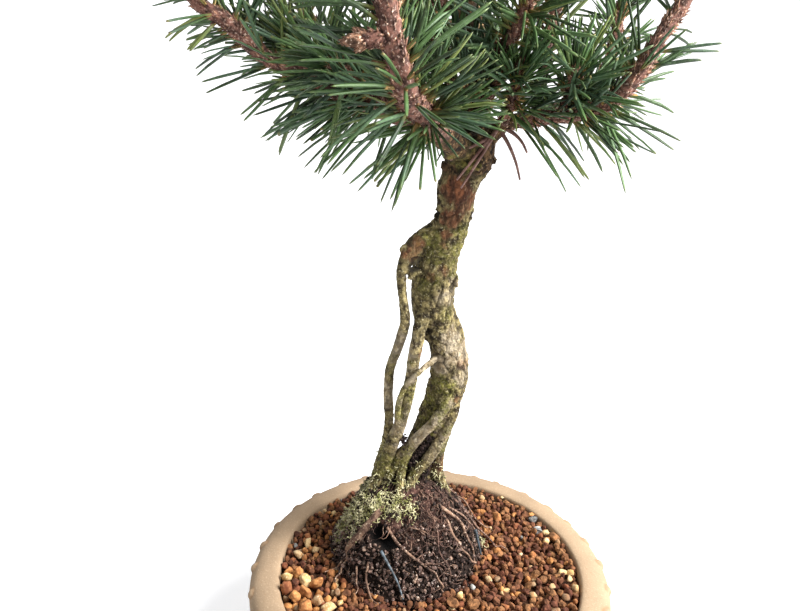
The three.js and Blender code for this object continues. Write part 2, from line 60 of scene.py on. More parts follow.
# Pot: its outline as (radius, height), its wall inside and its studs
POT_OUTSIDE = [
    (51.5, 1.2), (57.5, 9.5), (63, 18), (68, 27), (72, 36), (75.2, 45), (77.1, 51.5), (77.7, 55.5),
    (77, 58.4), (75.2, 60.3), (72.6, 61.4), (69.6, 61.8), (67.2, 61.7), (65.7, 61.2), (65.1, 60.2),
    (64.9, 58),
]
POT_INSIDE = [(64.9, 58), (64.4, 51), (63.5, 44), (61, 34), (57, 24), (51.5, 15), (45, 9.5), (40, 8)]
POT_FOOT = 50.3
POT_FLOOR = 8.0
POT_SIDES = 576
RIM_INNER = 65.0
STUD_FIRST = math.radians(2.15)
STUD_DISTANCE = 76.6
STUD_LEVEL = 58.6
STUD_TILT = math.radians(28)
DRAIN_RADIUS = 6.0
DRAIN_DISTANCE = 26.0

# Root ball: (radius, height), and the places of its foot and crown
BALL_PROFILE = [
    (30, 24), (36.5, 36), (36.5, 50), (34.8, 57), (32.5, 63), (29.5, 69), (26, 76), (22, 83), (17.5, 89),
    (11.5, 93.8), (5.5, 96.6),
]
BALL_FOOT = np.array([-10.0, 12.0])
BALL_CROWN = np.array([-10.5, 18.0])
BALL_FOOT_LEVEL = 57.0
BALL_CROWN_LEVEL = 97.5
BALL_LUMP = 0.9
WIDEST = 37

# Trunk, roots and boughs: (x, y, z, radius)
TRUNK = [
    (-7, 18, 80, 6), (-6, 20.5, 90, 8.6), (-4, 22, 100, 8.3), (1, 19.5, 118, 7.9), (4.5, 17, 131.5, 7.6),
    (6.5, 14.5, 147, 7.6), (4.5, 12, 161.5, 7.5), (-0.5, 10, 172.5, 8), (-1.5, 8, 186, 8.3),
    (0, 6.5, 197.5, 7.4), (4, 4.5, 210.5, 6.8), (6, 2, 226.5, 7.1), (7.4, 1.6, 231, 7.3),
    (9.5, 1, 235.5, 8.7), (10.5, 0, 242, 8), (12, 1.5, 249, 5.6),
]
ROOTS = [
    [(-1, 6, 207, 5), (-5.5, 4, 205.5, 4), (-10, 2, 203.5, 3), (-13, 0.5, 198.5, 2.2), (-14.5, 0, 192, 1.8),
     (-13.4, 1, 181.5, 1.9), (-12.6, 2.5, 172, 2.1), (-15, 5, 161.5, 2.1), (-18.2, 7.5, 150.5, 2),
     (-19, 10.5, 139, 2), (-18.5, 14, 123, 2), (-20, 17.5, 109, 2.4), (-23, 19.5, 94, 2.9),
     (-22, 18, 82, 1.6)],
    [(-1, 7, 183, 4), (-4.5, 4, 176, 3.2), (-7, 2, 168, 2.7), (-8.5, 2, 158.5, 2.5), (-10.5, 5, 141.5, 2.5),
     (-14, 8, 124, 2.7), (-18.5, 11, 109, 3), (-22.5, 13, 97, 3.3), (-25, 12, 88, 2.6), (-24, 11, 79, 1.4)],
    [(2, 8, 156.4, 1.4), (-2, 3.4, 154.6, 1.1), (-6.3, -0.1, 152.3, 1.1), (-10.4, 0.2, 147.8, 1.1),
     (-12.9, 1.5, 142.7, 1.2), (-14.4, 2.9, 137, 1.3), (-15, 4.8, 130.6, 1.4), (-14.7, 7.4, 125, 1.3),
     (-14.6, 9, 119, 1)],
    [(6.5, 13, 141, 3), (6, 9.5, 134.5, 2.4), (1.5, 7.2, 127.5, 2.2), (-4, 8, 120.5, 2.2),
     (-8.5, 9.5, 114, 2.5), (-14, 12, 106.5, 2.8), (-17.5, 13.5, 98.5, 3), (-19.5, 12, 91, 2.6),
     (-18, 12, 82, 1.4)],
    [(9, 16, 135, 3.2), (9, 13.5, 129, 2.8), (7.5, 12.5, 123.5, 2.5), (3.5, 11.5, 115, 2.4),
     (-1, 10.5, 107, 2.4), (-6, 10.5, 100.5, 2.4), (-9, 9, 95.5, 2.1), (-11, 7, 90, 1.8), (-10, 9, 80, 1)],
    [(5.5, 19, 128, 4), (6.2, 16.5, 120, 3), (4, 16, 110, 2.9), (3, 16.5, 99.5, 2.8), (5, 17, 91, 2.6),
     (8, 15, 84, 2.2), (8, 14, 74, 1.2)],
    [(-8, 10.5, 114.5, 1.6), (-10.8, 10.2, 108, 2), (-12.4, 11, 102, 2), (-13, 8.6, 96.5, 2),
     (-13, 5.8, 91.5, 1.9), (-11.8, 1.8, 87.5, 1.6), (-10, 3, 80, 0.9)],
    [(-16, 11, 96, 2), (-20.5, 4.5, 89.5, 2), (-27.5, 1, 80.5, 2), (-32.5, -1.5, 71.5, 2),
     (-34, -2.5, 64, 1.8), (-31, -2, 55, 1)],
]

# Each bough: the place on its path where its needles begin, its number of sprays and its path
BOUGHS = {
    "left": (2, 4, [
        (8, 0, 239, 6.5), (-2, -3, 246.5, 3.9), (-16, -6, 250.5, 3.2), (-29.5, -8, 254, 2.8),
        (-39.5, -8, 259, 2.6), (-49.5, -8, 263, 2.5), (-59.5, -8, 267.5, 2.4), (-67, -10, 273.5, 2.4),
        (-72.5, -12, 279, 2.3), (-80, -14, 283.5, 2.1), (-84, -14, 290, 1.9), (-86, -12, 300, 1.3)]),
    "front": (1.1, 3, [
        (7, -1, 238.5, 6), (-3, -22, 246.5, 4), (-10, -42, 253, 3.5), (-14.5, -60, 259, 3.1),
        (-17, -64, 268, 2.8), (-19.5, -64, 279.5, 2.7), (-21, -62, 291, 2.3), (-22, -58, 302, 1.4)]),
    "right": (1.2, 4, [
        (10, 0, 240, 5.5), (22, 0, 248, 2.5), (33, -2, 250, 2.3), (44, -8, 252, 2.4), (52, -14, 255, 2.5),
        (56.5, -18, 260, 2.5), (61.5, -20, 268.5, 2.4), (65.5, -20, 276.5, 2.2), (71, -18, 284.5, 2.1),
        (76, -14, 295.5, 1.8), (79, -10, 307, 1.2)]),
    "inner_right": (2, 2, [
        (31, -1, 249, 2.2), (34, 8, 256, 2.3), (36, 11, 270, 2), (38, 14, 283.5, 1.9),
        (40.5, 16, 293.5, 1.8), (42, 18, 308, 1.2)]),
    "back_left": (1, 4, [
        (7, 2, 240, 5.5), (-4.5, 18, 251.5, 3.2), (-20, 34, 260.5, 2.8), (-39, 46, 272, 2.5),
        (-53.5, 52, 285.5, 2.4), (-61.5, 54, 302.5, 2), (-64.5, 54, 315, 1.3)]),
    "back": (1, 3, [
        (10, 2, 240, 5.5), (13.5, 26, 253.5, 3), (16.5, 44, 265, 2.6), (16.5, 58, 279.5, 2.5),
        (13, 66, 296, 2.1), (10, 68, 309.5, 1.4)]),
    "back_right": (1, 3, [
        (32, -1, 249.5, 2.2), (46, 16, 255, 2.4), (58.5, 32, 261, 2.3), (67.5, 44, 268.5, 2.2),
        (72.5, 52, 282, 2), (74.5, 56, 297.5, 1.3)]),
    "leader": (6, 1, [
        (10.5, 0, 242, 8), (12, 3, 252.5, 5), (13, 5, 262.5, 4.2), (11, 6, 274, 3.6), (7.5, 6, 287, 3.1),
        (5.5, 4, 296, 2.7), (5.5, 3, 301, 2.3), (6, 2, 309, 1.9), (6, 0, 318, 1.3)]),
    "upper_left": (1, 2, [
        (8.5, 6, 283, 2.3), (-4, 5, 287.5, 2.2), (-22, 3, 297, 2), (-33, 0, 309, 1.8), (-37, -2, 320, 1.2)]),
    "upper_front": (1, 2, [
        (6, 4.5, 293, 2.1), (13, -8, 299, 2), (25, -20, 307, 1.8), (32, -28, 320, 1.2)]),
    "middle_front": (1, 1, [
        (12.5, 5, 266, 2.4), (16, -9, 271, 2.1), (20, -20, 277, 1.8), (23, -28, 287, 1.2)]),
    "middle_back": (1, 1, [
        (10.5, 6, 277, 2.3), (-1, 19, 282, 2), (-8, 28, 288, 1.8), (-12, 34, 299, 1.2)]),
}

# Side shoots of the boughs, which fill the crown's middle
TWIGS = {
    "leader": [
        [(12.8, 4, 256, 2), (8, -5, 258, 1.8), (2.1, -14, 260.5, 1.4)],
        [(12.5, 3, 252, 2), (15, -3, 258, 1.8), (17.5, -8, 264, 1.3)],
        [(13, 5, 263, 2), (4, 0, 268, 1.7), (-6.2, -6, 273, 1.3)]],
    "right": [
        [(20, 0, 246.5, 2), (22, -7, 256, 1.7), (23, -14, 265.5, 1.3)],
        [(40, -6, 251.5, 1.8), (40, -13, 258, 1.6), (39.6, -20, 264, 1.3)]],
    "back": [[(13.5, 26, 253.5, 2), (15, 33, 266, 1.7), (15.3, 40, 278, 1.3)]],
    "back_left": [[(-4.5, 18, 251.5, 2), (-11, 24, 266, 1.7), (-16.5, 30, 280.5, 1.3)]],
    "left": [
        [(-16, -6, 250.5, 2), (-27, -14, 259, 1.7), (-37.9, -22, 267, 1.3)],
        [(-29.5, -8, 254, 2), (-42, -4, 264, 1.7), (-53.8, 0, 274.3, 1.3)]],
    "front": [[(-18, -64, 270, 2), (-22, -65.5, 270.5, 2), (-25.8, -66, 270.2, 1.6)]],
}

# Where on each bough's path its needles crowd together
WHORLS = {"front": [1.6, 3.5, 7], "left": [3.5, 7, 11], "right": [3, 5.5, 10]}

# From which place on a bough its near side is almost free of needles
BARE_FROM = {"front": 3.4, "left": 3.6, "right": 4.5, "inner_right": 1.6}
# Boughs whose side shoots have a tuft of buds and no needles
LEAFLESS_TWIGS = ("front",)
# How much further apart the needles stand on the boughs that are more open
OPENNESS = {"right": 1.3, "leader": 1.45, "back_right": 1.3, "inner_right": 1.4, "back": 1.25, "left": 1.05,
            "back_left": 1.1, "middle_front": 1.2, "upper_front": 1.1}

GOLDEN_ANGLE = math.radians(137.5)


def srgb(red, green, blue):
    """A colour given from 0 to 255, as Blender's linear colour."""
    shares = [channel / 255 for channel in (red, green, blue)]
    return tuple(((share + 0.055) / 1.055) ** 2.4 if share > 0.04 else share / 12.92 for share in shares)


def colour(name, description, *picked):
    return FloatVectorProperty(
        name=name, description=description, subtype="COLOR", size=3, min=0, max=1, default=srgb(*picked))


def length(name, description, default):
    return FloatProperty(name=name, description=description, unit="LENGTH", min=0, default=default * MM)


def power(name, description, default):
    return FloatProperty(name=name, description=description, unit="POWER", min=0, default=default)


class PotSettings(bpy.types.PropertyGroup):
    clay: colour("Clay", "Colour of the unglazed clay", 164, 140, 113)
    # The hollows colour is used for the clay's brown specks, and as painted shade in the crease round each
    # stud
    shade: colour("Clay in hollows", "Colour of the clay round its studs and in its pits", 146, 112, 78)
    stud_count: IntProperty(name="Studs", description="How many studs go round the rim", default=32, min=3)
    stud_radius: length("Stud radius", "Half the width of a stud", 2.35)
    stud_height: length("Stud height", "How far a stud stands out", 1.05)


class SoilSettings(bpy.types.PropertyGroup):
    brown: colour("Brown grains", "Colour of most akadama grains", 130, 86, 58)
    ochre: colour("Ochre grains", "Colour of the orange and ochre grains", 170, 114, 70)
    cream: colour("Cream grains", "Colour of the palest grains", 200, 172, 130)
    level: length("Level", "Height that the grains are filled to", 61.2)
    seed: IntProperty(name="Seed", description="Picks another fall of the same grains", default=5)


class BallSettings(bpy.types.PropertyGroup):
    peat: colour("Peat", "Colour of the dark peat", 44, 33, 28)
    fibre: colour("Fibres", "Colour of the fine dead roots", 88, 62, 54)
    moss: colour("Moss", "Colour of the pale strands of moss", 208, 200, 164)
    crumbs: IntProperty(name="Crumbs", description="How many crumbs cover the ball", default=2100, min=0)


class BarkSettings(bpy.types.PropertyGroup):
    bark: colour("Bark", "Colour of plain bark", 144, 130, 88)
    algae: colour("Algae", "Colour of the green film on the bark", 134, 132, 62)
    rust: colour("Peeled bark", "Colour of the freshly peeled bark under the crown", 128, 79, 52)
    voxel: length("Mesh size", "Size of the facets that the bark is carved in", 0.5)


class NeedleSettings(bpy.types.PropertyGroup):
    green: colour("Needles", "Colour of the needles", 64, 88, 48)
    shoot: colour("Shoots", "Colour of the scaly shoots", 156, 114, 94)
    spacing: length("Pair spacing", "Length of shoot for each pair of needles", 0.33)
    reach: length("Needle length", "Length of a grown needle", 25.0)
    width: length("Needle width", "Width of a needle", 1.2)


class StageSettings(bpy.types.PropertyGroup):
    floor: colour("Floor", "Colour of the floor and its sweep", 244, 244, 245)
    key: power("Key light", "Strength of the main soft light", 20)
    fill: power("Fill light", "Strength of the soft light on the left", 1.2)


class BonsaiSettings(bpy.types.PropertyGroup):
    pot: PointerProperty(type=PotSettings)
    soil: PointerProperty(type=SoilSettings)
    ball: PointerProperty(type=BallSettings)
    bark: PointerProperty(type=BarkSettings)
    needles: PointerProperty(type=NeedleSettings)
    stage: PointerProperty(type=StageSettings)


# Smooth noise and cracks


def scramble(cell, seed):
    """A repeatable number from 0 to 1 for each whole-numbered cell."""
    mixed = cell[..., 0] * 73856093 ^ cell[..., 1] * 19349663 ^ cell[..., 2] * 83492791 ^ seed * 40503
    mixed = mixed & 0xFFFFFFFF
    for _ in range(2):
        mixed = ((mixed >> 16) ^ mixed) * 0x45D9F3B & 0xFFFFFFFF
    return ((mixed >> 16) ^ mixed) / 0xFFFFFFFF


def wander(points, size, seed=0):
    """Smooth noise from -1 to 1, in lumps about as wide as size."""
    where = np.asarray(points, float) / size
    cell = np.floor(where).astype(np.int64)
    part = where - cell
    part = part * part * (3 - 2 * part)
    total = np.zeros(len(where))
    for corner in product((0, 1), repeat=3):
        share = np.prod(np.where(np.array(corner), part, 1 - part), axis=1)
        total += share * scramble(cell + corner, seed)
    return 2 * total - 1


def cells(points, size, seed=0):
    """A pattern of cells: how far each point is from a border, in cell widths, and its cell's number."""
    where = np.asarray(points, float) / size
    home = np.floor(where).astype(np.int64)
    nearest = np.full(len(where), 9.0)
    second = np.full(len(where), 9.0)
    own = np.zeros(len(where))
    for step in product((-1, 0, 1), repeat=3):
        other = home + step
        middle = other + np.stack([scramble(other, seed + axis) for axis in range(3)], axis=1)
        gap = np.linalg.norm(middle - where, axis=1)
        closer = gap < nearest
        second = np.where(closer, nearest, np.minimum(second, gap))
        own = np.where(closer, scramble(other, seed + 3), own)
        nearest = np.where(closer, gap, nearest)
    return second - nearest, own


def smoothstep(low, high, value):
    part = np.clip((value - low) / (high - low), 0, 1)
    return part * part * (3 - 2 * part)


def unit(vectors):
    return vectors / np.maximum(np.linalg.norm(vectors, axis=-1, keepdims=True), 1e-9)


# Meshes


def make_mesh(name, points, quads=(), tris=(), marks=None, smooth=True):
    """A mesh from arrays in millimetres, with marks kept as one number a point."""
    points = np.asarray(points, float)
    quads = np.asarray(quads, int).reshape(-1, 4)
    tris = np.asarray(tris, int).reshape(-1, 3)
    mesh = bpy.data.meshes.new(name)
    mesh.vertices.add(len(points))
    mesh.vertices.foreach_set("co", (points * MM).ravel())
    corners = np.concatenate([quads.ravel(), tris.ravel()])
    mesh.loops.add(len(corners))
    mesh.loops.foreach_set("vertex_index", corners)
    starts = np.concatenate([np.arange(len(quads)) * 4, len(quads) * 4 + np.arange(len(tris)) * 3])
    mesh.polygons.add(len(starts))
    mesh.polygons.foreach_set("loop_start", starts)
    mesh.polygons.foreach_set("use_smooth", np.full(len(starts), smooth))
    mesh.update(calc_edges=True)
    mesh.validate()
    set_marks(mesh, marks or {})
    return mesh


def set_marks(mesh, marks):
    for key, values in marks.items():
        layer = mesh.attributes.new(key, "FLOAT", "POINT")
        layer.data.foreach_set("value", np.asarray(values, float))


def read_points(mesh, what):
    """What every point of a mesh has, such as its place or its normal."""
    values = np.empty(len(mesh.vertices) * 3)
    mesh.vertices.foreach_get(what, values)
    return values.reshape(-1, 3)


def link_object(name, data):
    thing = bpy.data.objects.new(name, data)
    bpy.context.scene.collection.objects.link(thing)
    return thing


def modified(holder):
    """The mesh that an object has under its modifiers."""
    return bpy.data.meshes.new_from_object(holder.evaluated_get(bpy.context.evaluated_depsgraph_get()))


def add_piece(name, mesh, material, slot, *nodes):
    """Adds a piece that rides the tree's body, and takes the places of the solids that it replaces."""
    old = bpy.data.objects.get(name)
    if old:
        bpy.data.objects.remove(old)
    piece = link_object(name, mesh)
    mesh.materials.append(material)
    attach(piece, BODY)
    if nodes:
        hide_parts(*nodes)


class Pile:
    """Many small closed shapes gathered into one mesh."""

    def __init__(self):
        self.points = []
        self.quads = []
        self.tris = []
        self.marks = {}
        self.count = 0

    def add(self, points, quads=(), tris=(), **marks):
        points = np.asarray(points, float).reshape(-1, 3)
        self.points.append(points)
        self.quads.append(np.asarray(quads, int).reshape(-1, 4) + self.count)
        self.tris.append(np.asarray(tris, int).reshape(-1, 3) + self.count)
        for key, value in marks.items():
            self.marks.setdefault(key, []).append(np.broadcast_to(value, len(points)))
        self.count += len(points)

    def mesh(self, name, smooth=True):
        marks = {key: np.concatenate(values) for key, values in self.marks.items()}
        return make_mesh(name, np.concatenate(self.points), np.concatenate(self.quads),
                         np.concatenate(self.tris), marks, smooth)


def around(sides):
    """The angles of a ring's points."""
    return np.arange(sides) / sides * 2 * np.pi


def turned_points(outline, angles):
    """Rings of points round the upright axis from (radius, height) points."""
    radius = outline[:, :1]
    height = np.repeat(outline[:, 1:], len(angles), axis=1)
    return np.stack([radius * np.cos(angles), radius * np.sin(angles), height], axis=-1).reshape(-1, 3)


def ring_faces(rings, sides):
    """Quads over rings of points, and triangles to the two end points that follow the last ring."""
    ring = np.arange(rings - 1)[:, None] * sides
    side = np.arange(sides)[None, :]
    after = (side + 1) % sides
    quads = np.stack([ring + side, ring + after, ring + sides + after, ring + sides + side], axis=-1)
    here, onward = side[0], after[0]
    end = rings * sides
    last = end - sides
    first_cap = np.stack([np.full(sides, end), onward, here], axis=1)
    last_cap = np.stack([np.full(sides, end + 1), last + here, last + onward], axis=1)
    return quads.reshape(-1, 4), np.concatenate([first_cap, last_cap])


def ball_shape(subdivisions):
    shape = bmesh.new()
    bmesh.ops.create_icosphere(shape, subdivisions=subdivisions, radius=1)
    points = np.array([v.co[:] for v in shape.verts])
    tris = np.array([[v.index for v in f.verts] for f in shape.faces])
    shape.free()
    return points, tris


def small_ball_shape():
    """An octahedron with each face cut in four: 18 points."""
    corners = [Vector(c) for c in ((1, 0, 0), (-1, 0, 0), (0, 1, 0), (0, -1, 0), (0, 0, 1), (0, 0, -1))]
    faces = [(0, 2, 4), (2, 1, 4), (1, 3, 4), (3, 0, 4), (2, 0, 5), (1, 2, 5), (3, 1, 5), (0, 3, 5)]
    points = list(corners)
    middles = {}
    tris = []
    for a, b, c in faces:
        ids = []
        for edge in ((a, b), (b, c), (c, a)):
            key = tuple(sorted(edge))
            if key not in middles:
                middles[key] = len(points)
                points.append((corners[edge[0]] + corners[edge[1]]).normalized())
            ids.append(middles[key])
        ab, bc, ca = ids
        tris += [(a, ab, ca), (ab, b, bc), (ca, bc, c), (ab, bc, ca)]
    return np.array([p[:] for p in points]), np.array(tris)


def turned(random, count):
    """Random rotation matrices."""
    spin = unit(random.normal(size=(count, 4)))
    w, x, y, z = spin.T
    rows = [
        1 - 2 * (y * y + z * z), 2 * (x * y - z * w), 2 * (x * z + y * w),
        2 * (x * y + z * w), 1 - 2 * (x * x + z * z), 2 * (y * z - x * w),
        2 * (x * z - y * w), 2 * (y * z + x * w), 1 - 2 * (x * x + y * y),
    ]
    return np.stack(rows, axis=1).reshape(-1, 3, 3)


class Stones:
    """Irregular stones in a few basic shapes, each laid with a place, a size and a turn of its own."""

    KINDS = 12
    FACES = 7

    def __init__(self, base, roughness, seed):
        points, self.tris = base
        random = np.random.default_rng(seed)
        self.shapes = []
        for kind in range(self.KINDS):
            shift = kind * 7.3 + seed
            shape = points * (1 + wander(points + shift, 0.95, seed) * roughness)[:, None]
            shape = self.chip(shape * 1.12, random)
            lumps = wander(points + shift, 0.45, seed + 1) * roughness * 0.5
            self.shapes.append(shape * (1 + lumps)[:, None])

    def chip(self, shape, random):
        """Knocks flat faces onto a stone."""
        for normal in unit(random.normal(size=(self.FACES, 3))):
            over = np.maximum(shape @ normal - random.uniform(0.6, 0.92), 0)
            shape = shape - over[:, None] * normal * 0.9
        return shape

    def lay(self, pile, random, places, radii, stretch=0.22, **marks):
        places = np.asarray(places, float).reshape(-1, 3)
        turns = turned(random, len(places))
        stretches = 1 + stretch * random.uniform(-1, 1, (len(places), 3))
        for i, place in enumerate(places):
            shape = self.shapes[int(random.integers(self.KINDS))] * stretches[i] * radii[i]
            own = {key: values[i] for key, values in marks.items()}
            pile.add(shape @ turns[i].T + place, tris=self.tris, **own)


# Limbs


class LimbLine:
    """The centre line and radius of a limb through its path points. A place counts path points."""

    def __init__(self, path):
        self.path = np.array(path, float)
        self.spans = len(path) - 1
        first = 2 * self.path[0] - self.path[1]
        last = 2 * self.path[-1] - self.path[-2]
        self.padded = np.vstack([first, self.path, last])

    def at(self, place):
        span = min(int(place), self.spans - 1)
        part = place - span
        points = self.padded[span:span + 4]
        centres = points[:, :3]
        gaps = [max(float(np.linalg.norm(centres[i + 1] - centres[i])), 1e-4) ** 0.5 for i in range(3)]
        before, between, after = gaps
        p0, p1, p2, p3 = centres
        start = (p1 - p0) / before - (p2 - p0) / (before + between) + (p2 - p1) / between
        stop = (p2 - p1) / between - (p3 - p1) / (between + after) + (p3 - p2) / after
        start = start * between
        stop = stop * between
        curve = (p1 + start * part + (3 * (p2 - p1) - 2 * start - stop) * part ** 2
                 + (2 * (p1 - p2) + start + stop) * part ** 3)
        radius = points[1, 3] + (points[2, 3] - points[1, 3]) * part
        return curve, radius


class Run:
    """Evenly spaced stands along a limb, each with a frame that doesn't twist."""

    def __init__(self, line, start, end, step):
        places = np.linspace(start, end, max(8, int((end - start) * 20)))
        centres = np.array([line.at(place)[0] for place in places])
        ways = np.concatenate([[0], np.cumsum(np.linalg.norm(np.diff(centres, axis=0), axis=1))])
        self.length = ways[-1]
        count = max(3, int(round(self.length / step)) + 1)
        self.along = np.linspace(0, self.length, count)
        self.places = np.interp(self.along, ways, places)
        found = [line.at(place) for place in self.places]
        self.centres = np.array([centre for centre, _ in found])
        self.radii = np.array([radius for _, radius in found])
        self.directions = unit(np.gradient(self.centres, axis=0))
        self.across = np.empty_like(self.centres)
        across = np.array([0.2, 0.9, 0.4])
        for i, direction in enumerate(self.directions):
            across = across - direction * across.dot(direction)
            across = across / np.linalg.norm(across)
            self.across[i] = across
        self.beside = np.cross(self.directions, self.across)

    def stand(self, way):
        """Centre, radius, direction, across and beside at a way along the limb."""
        i = int(np.clip(np.searchsorted(self.along, way) - 1, 0, len(self.along) - 2))
        part = (way - self.along[i]) / (self.along[i + 1] - self.along[i])
        kept = [self.centres, self.radii, self.directions, self.across, self.beside]
        return [values[i] + (values[i + 1] - values[i]) * part for values in kept]

    def tube(self, pile, sides, widths=None, **marks):
        """A closed skin round the limb. widths multiplies its radius at each ring and side."""
        turn = around(sides)
        reach = self.radii[:, None] * (np.ones((len(self.radii), sides)) if widths is None else widths)
        rings = (self.centres[:, None, :]
                 + self.across[:, None, :] * (reach * np.cos(turn))[..., None]
                 + self.beside[:, None, :] * (reach * np.sin(turn))[..., None])
        points = np.vstack([rings.reshape(-1, 3), self.centres[0], self.centres[-1]])
        quads, tris = ring_faces(len(self.radii), sides)
        pile.add(points, quads, tris, **marks)


def swell_round(run, sides, reach, size, seed):
    """Smooth noise for each ring and side of a limb's skin, with no seam."""
    turn = around(sides)
    way = np.repeat(run.along[:, None], sides, axis=1)
    seen = np.stack([np.cos(turn) * reach + 0 * way, np.sin(turn) * reach + 0 * way, way], axis=-1)
    return wander(seen.reshape(-1, 3), size, seed).reshape(way.shape)


def strand(pile, path, radius, sides=3, step=1.2, **marks):
    """A round thread through given points, which thins to under half at its end."""
    spans = max(1, len(path) - 1)
    line = LimbLine([(*point, radius * (1 - 0.55 * i / spans)) for i, point in enumerate(path)])
    Run(line, 0, line.spans, step).tube(pile, sides, **marks)


# Materials


def put(tree, kind, inputs=None, **settings):
    """One shader node, with its inputs set or linked by name or number."""
    node = tree.nodes.new("ShaderNode" + kind)
    for key, value in settings.items():
        setattr(node, key, value)
    for key, value in (inputs or {}).items():
        socket = node.inputs[key]
        if isinstance(value, bpy.types.NodeSocket):
            tree.links.new(value, socket)
        elif socket.type == "RGBA":
            socket.default_value = (*value[:3], 1)
        else:
            socket.default_value = value
    return node


def mix(tree, factor, low, high):
    """The shade between two shades, by a factor from 0 to 1."""
    return put(tree, "Mix", {0: factor, 6: low, 7: high}, data_type="RGBA").outputs[2]


def fit(tree, value, low, high, to_low=0.0, to_high=1.0):
    """A value moved smoothly from one range to another."""
    node = put(tree, "MapRange", {"Value": value, "From Min": low, "From Max": high,
                                  "To Min": to_low, "To Max": to_high}, interpolation_type="SMOOTHSTEP")
    return node.outputs["Result"]


def maths(tree, operation, a, b):
    return put(tree, "Math", {0: a, 1: b}, operation=operation).outputs[0]


def mark(tree, name):
    return put(tree, "Attribute", attribute_name=name, attribute_type="GEOMETRY").outputs["Fac"]


def new_group(name, inputs, outputs):
    """An empty node group with named sockets, and its input and output nodes."""
    group = bpy.data.node_groups.new(name, "ShaderNodeTree")
    for key, kind, default in inputs:
        socket = group.interface.new_socket(key, in_out="INPUT", socket_type="NodeSocket" + kind)
        if default is not None:
            socket.default_value = default
    for key, kind in outputs:
        group.interface.new_socket(key, in_out="OUTPUT", socket_type="NodeSocket" + kind)
    return group, group.nodes.new("NodeGroupInput").outputs, group.nodes.new("NodeGroupOutput").inputs


def mottle_group():
    """Patches, clouds and fine specks in three shades of one colour."""
    old = bpy.data.node_groups.get("Mottle")
    if old:
        return old
    white = (1, 1, 1, 1)
    group, given, made = new_group("Mottle", [
        ("Vector", "Vector", None),
        ("Base", "Color", white), ("Dark", "Color", white), ("Light", "Color", white),
        ("Patch Scale", "Float", 200.0), ("Speck Scale", "Float", 1400.0), ("Speck Amount", "Float", 0.5),
    ], [("Color", "Color"), ("Specks", "Float")])
    clouds = put(group, "TexNoise", {"Vector": given["Vector"], "Scale": given["Patch Scale"], "Detail": 5.0})
    patches = fit(group, clouds.outputs["Fac"], 0.36, 0.64)
    grit = put(group, "TexNoise", {"Vector": given["Vector"], "Scale": given["Speck Scale"], "Detail": 3.0})
    pale = fit(group, grit.outputs["Fac"], 0.56, 0.7)
    deep = fit(group, grit.outputs["Fac"], 0.44, 0.3)
    shade = mix(group, patches, given["Dark"], given["Base"])
    shade = mix(group, maths(group, "MULTIPLY", pale, given["Speck Amount"]), shade, given["Light"])
    shade = mix(group, maths(group, "MULTIPLY", deep, given["Speck Amount"]), shade, given["Dark"])
    group.links.new(shade, made["Color"])
    group.links.new(grit.outputs["Fac"], made["Specks"])
    return group


def grit_group():
    """Height of a dry, pitted surface: fine noise with small round pits."""
    old = bpy.data.node_groups.get("Grit")
    if old:
        return old
    group, given, made = new_group("Grit", [
        ("Vector", "Vector", None), ("Scale", "Float", 1500.0), ("Pits", "Float", 0.5),
    ], [("Height", "Float")])
    fine = put(group, "TexNoise", {"Vector": given["Vector"], "Scale": given["Scale"], "Detail": 4.0,
                                   "Roughness": 0.65})
    pits = put(group, "TexVoronoi", {"Vector": given["Vector"],
                                     "Scale": maths(group, "MULTIPLY", given["Scale"], 0.45)})
    deep = maths(group, "MULTIPLY", fit(group, pits.outputs["Distance"], 0.1, 0.45), given["Pits"])
    group.links.new(maths(group, "ADD", fine.outputs["Fac"], deep), made["Height"])
    return group


def mottled(tree, place, base, dark, light, patch, speck, amount):
    """The Mottle group: three shades, the scales of its patches and specks, and the specks' amount."""
    return put(tree, "Group", {
        "Vector": place, "Base": base, "Dark": dark, "Light": light, "Patch Scale": patch,
        "Speck Scale": speck, "Speck Amount": amount}, node_tree=mottle_group())


def grit_height(tree, place, scale, pits):
    grit = put(tree, "Group", {"Vector": place, "Scale": scale, "Pits": pits}, node_tree=grit_group())
    return grit.outputs["Height"]


def new_material(name):
    """An empty material: its tree, its Principled shader and the place on its piece."""
    old = bpy.data.materials.get(name)
    if old:
        bpy.data.materials.remove(old)
    material = bpy.data.materials.new(name)
    material.use_nodes = True
    tree = material.node_tree
    shader = tree.nodes["Principled BSDF"]
    place = put(tree, "TexCoord").outputs["Object"]
    return material, tree, shader, place


def bump(tree, shader, height, strength, distance):
    node = put(tree, "Bump", {"Height": height, "Strength": strength, "Distance": distance * MM})
    tree.links.new(node.outputs["Normal"], shader.inputs["Normal"])


def finish_shader(tree, shader, shade, roughness, specular=0.3):
    """Links the colour, and sets plain values on the shader's own sockets."""
    tree.links.new(shade, shader.inputs["Base Color"])
    if isinstance(roughness, bpy.types.NodeSocket):
        tree.links.new(roughness, shader.inputs["Roughness"])
    else:
        shader.inputs["Roughness"].default_value = roughness
    shader.inputs["Specular IOR Level"].default_value = specular


def shaded(picked, factor):
    return tuple(channel * factor for channel in picked)


def dry_material(name, base, dark, light, patch, speck, amount, roughness, depth, pits, tinted=True):
    """A dry mottled surface. Tinted, each small shape is darker or lighter by its own mark."""
    material, tree, shader, place = new_material(name)
    shade = mottled(tree, place, base, dark, light, patch, speck, amount).outputs["Color"]
    if tinted:
        tint = mark(tree, "tint")
        own = put(tree, "HueSaturation", {"Value": fit(tree, tint, 0, 1, 0.55, 1.35), "Color": shade,
                                          "Hue": fit(tree, tint, 0, 1, 0.485, 0.51)})
        shade = own.outputs["Color"]
    finish_shader(tree, shader, shade, roughness)
    bump(tree, shader, grit_height(tree, place, speck * 0.8, pits), 0.6, depth)
    return material


# Pot


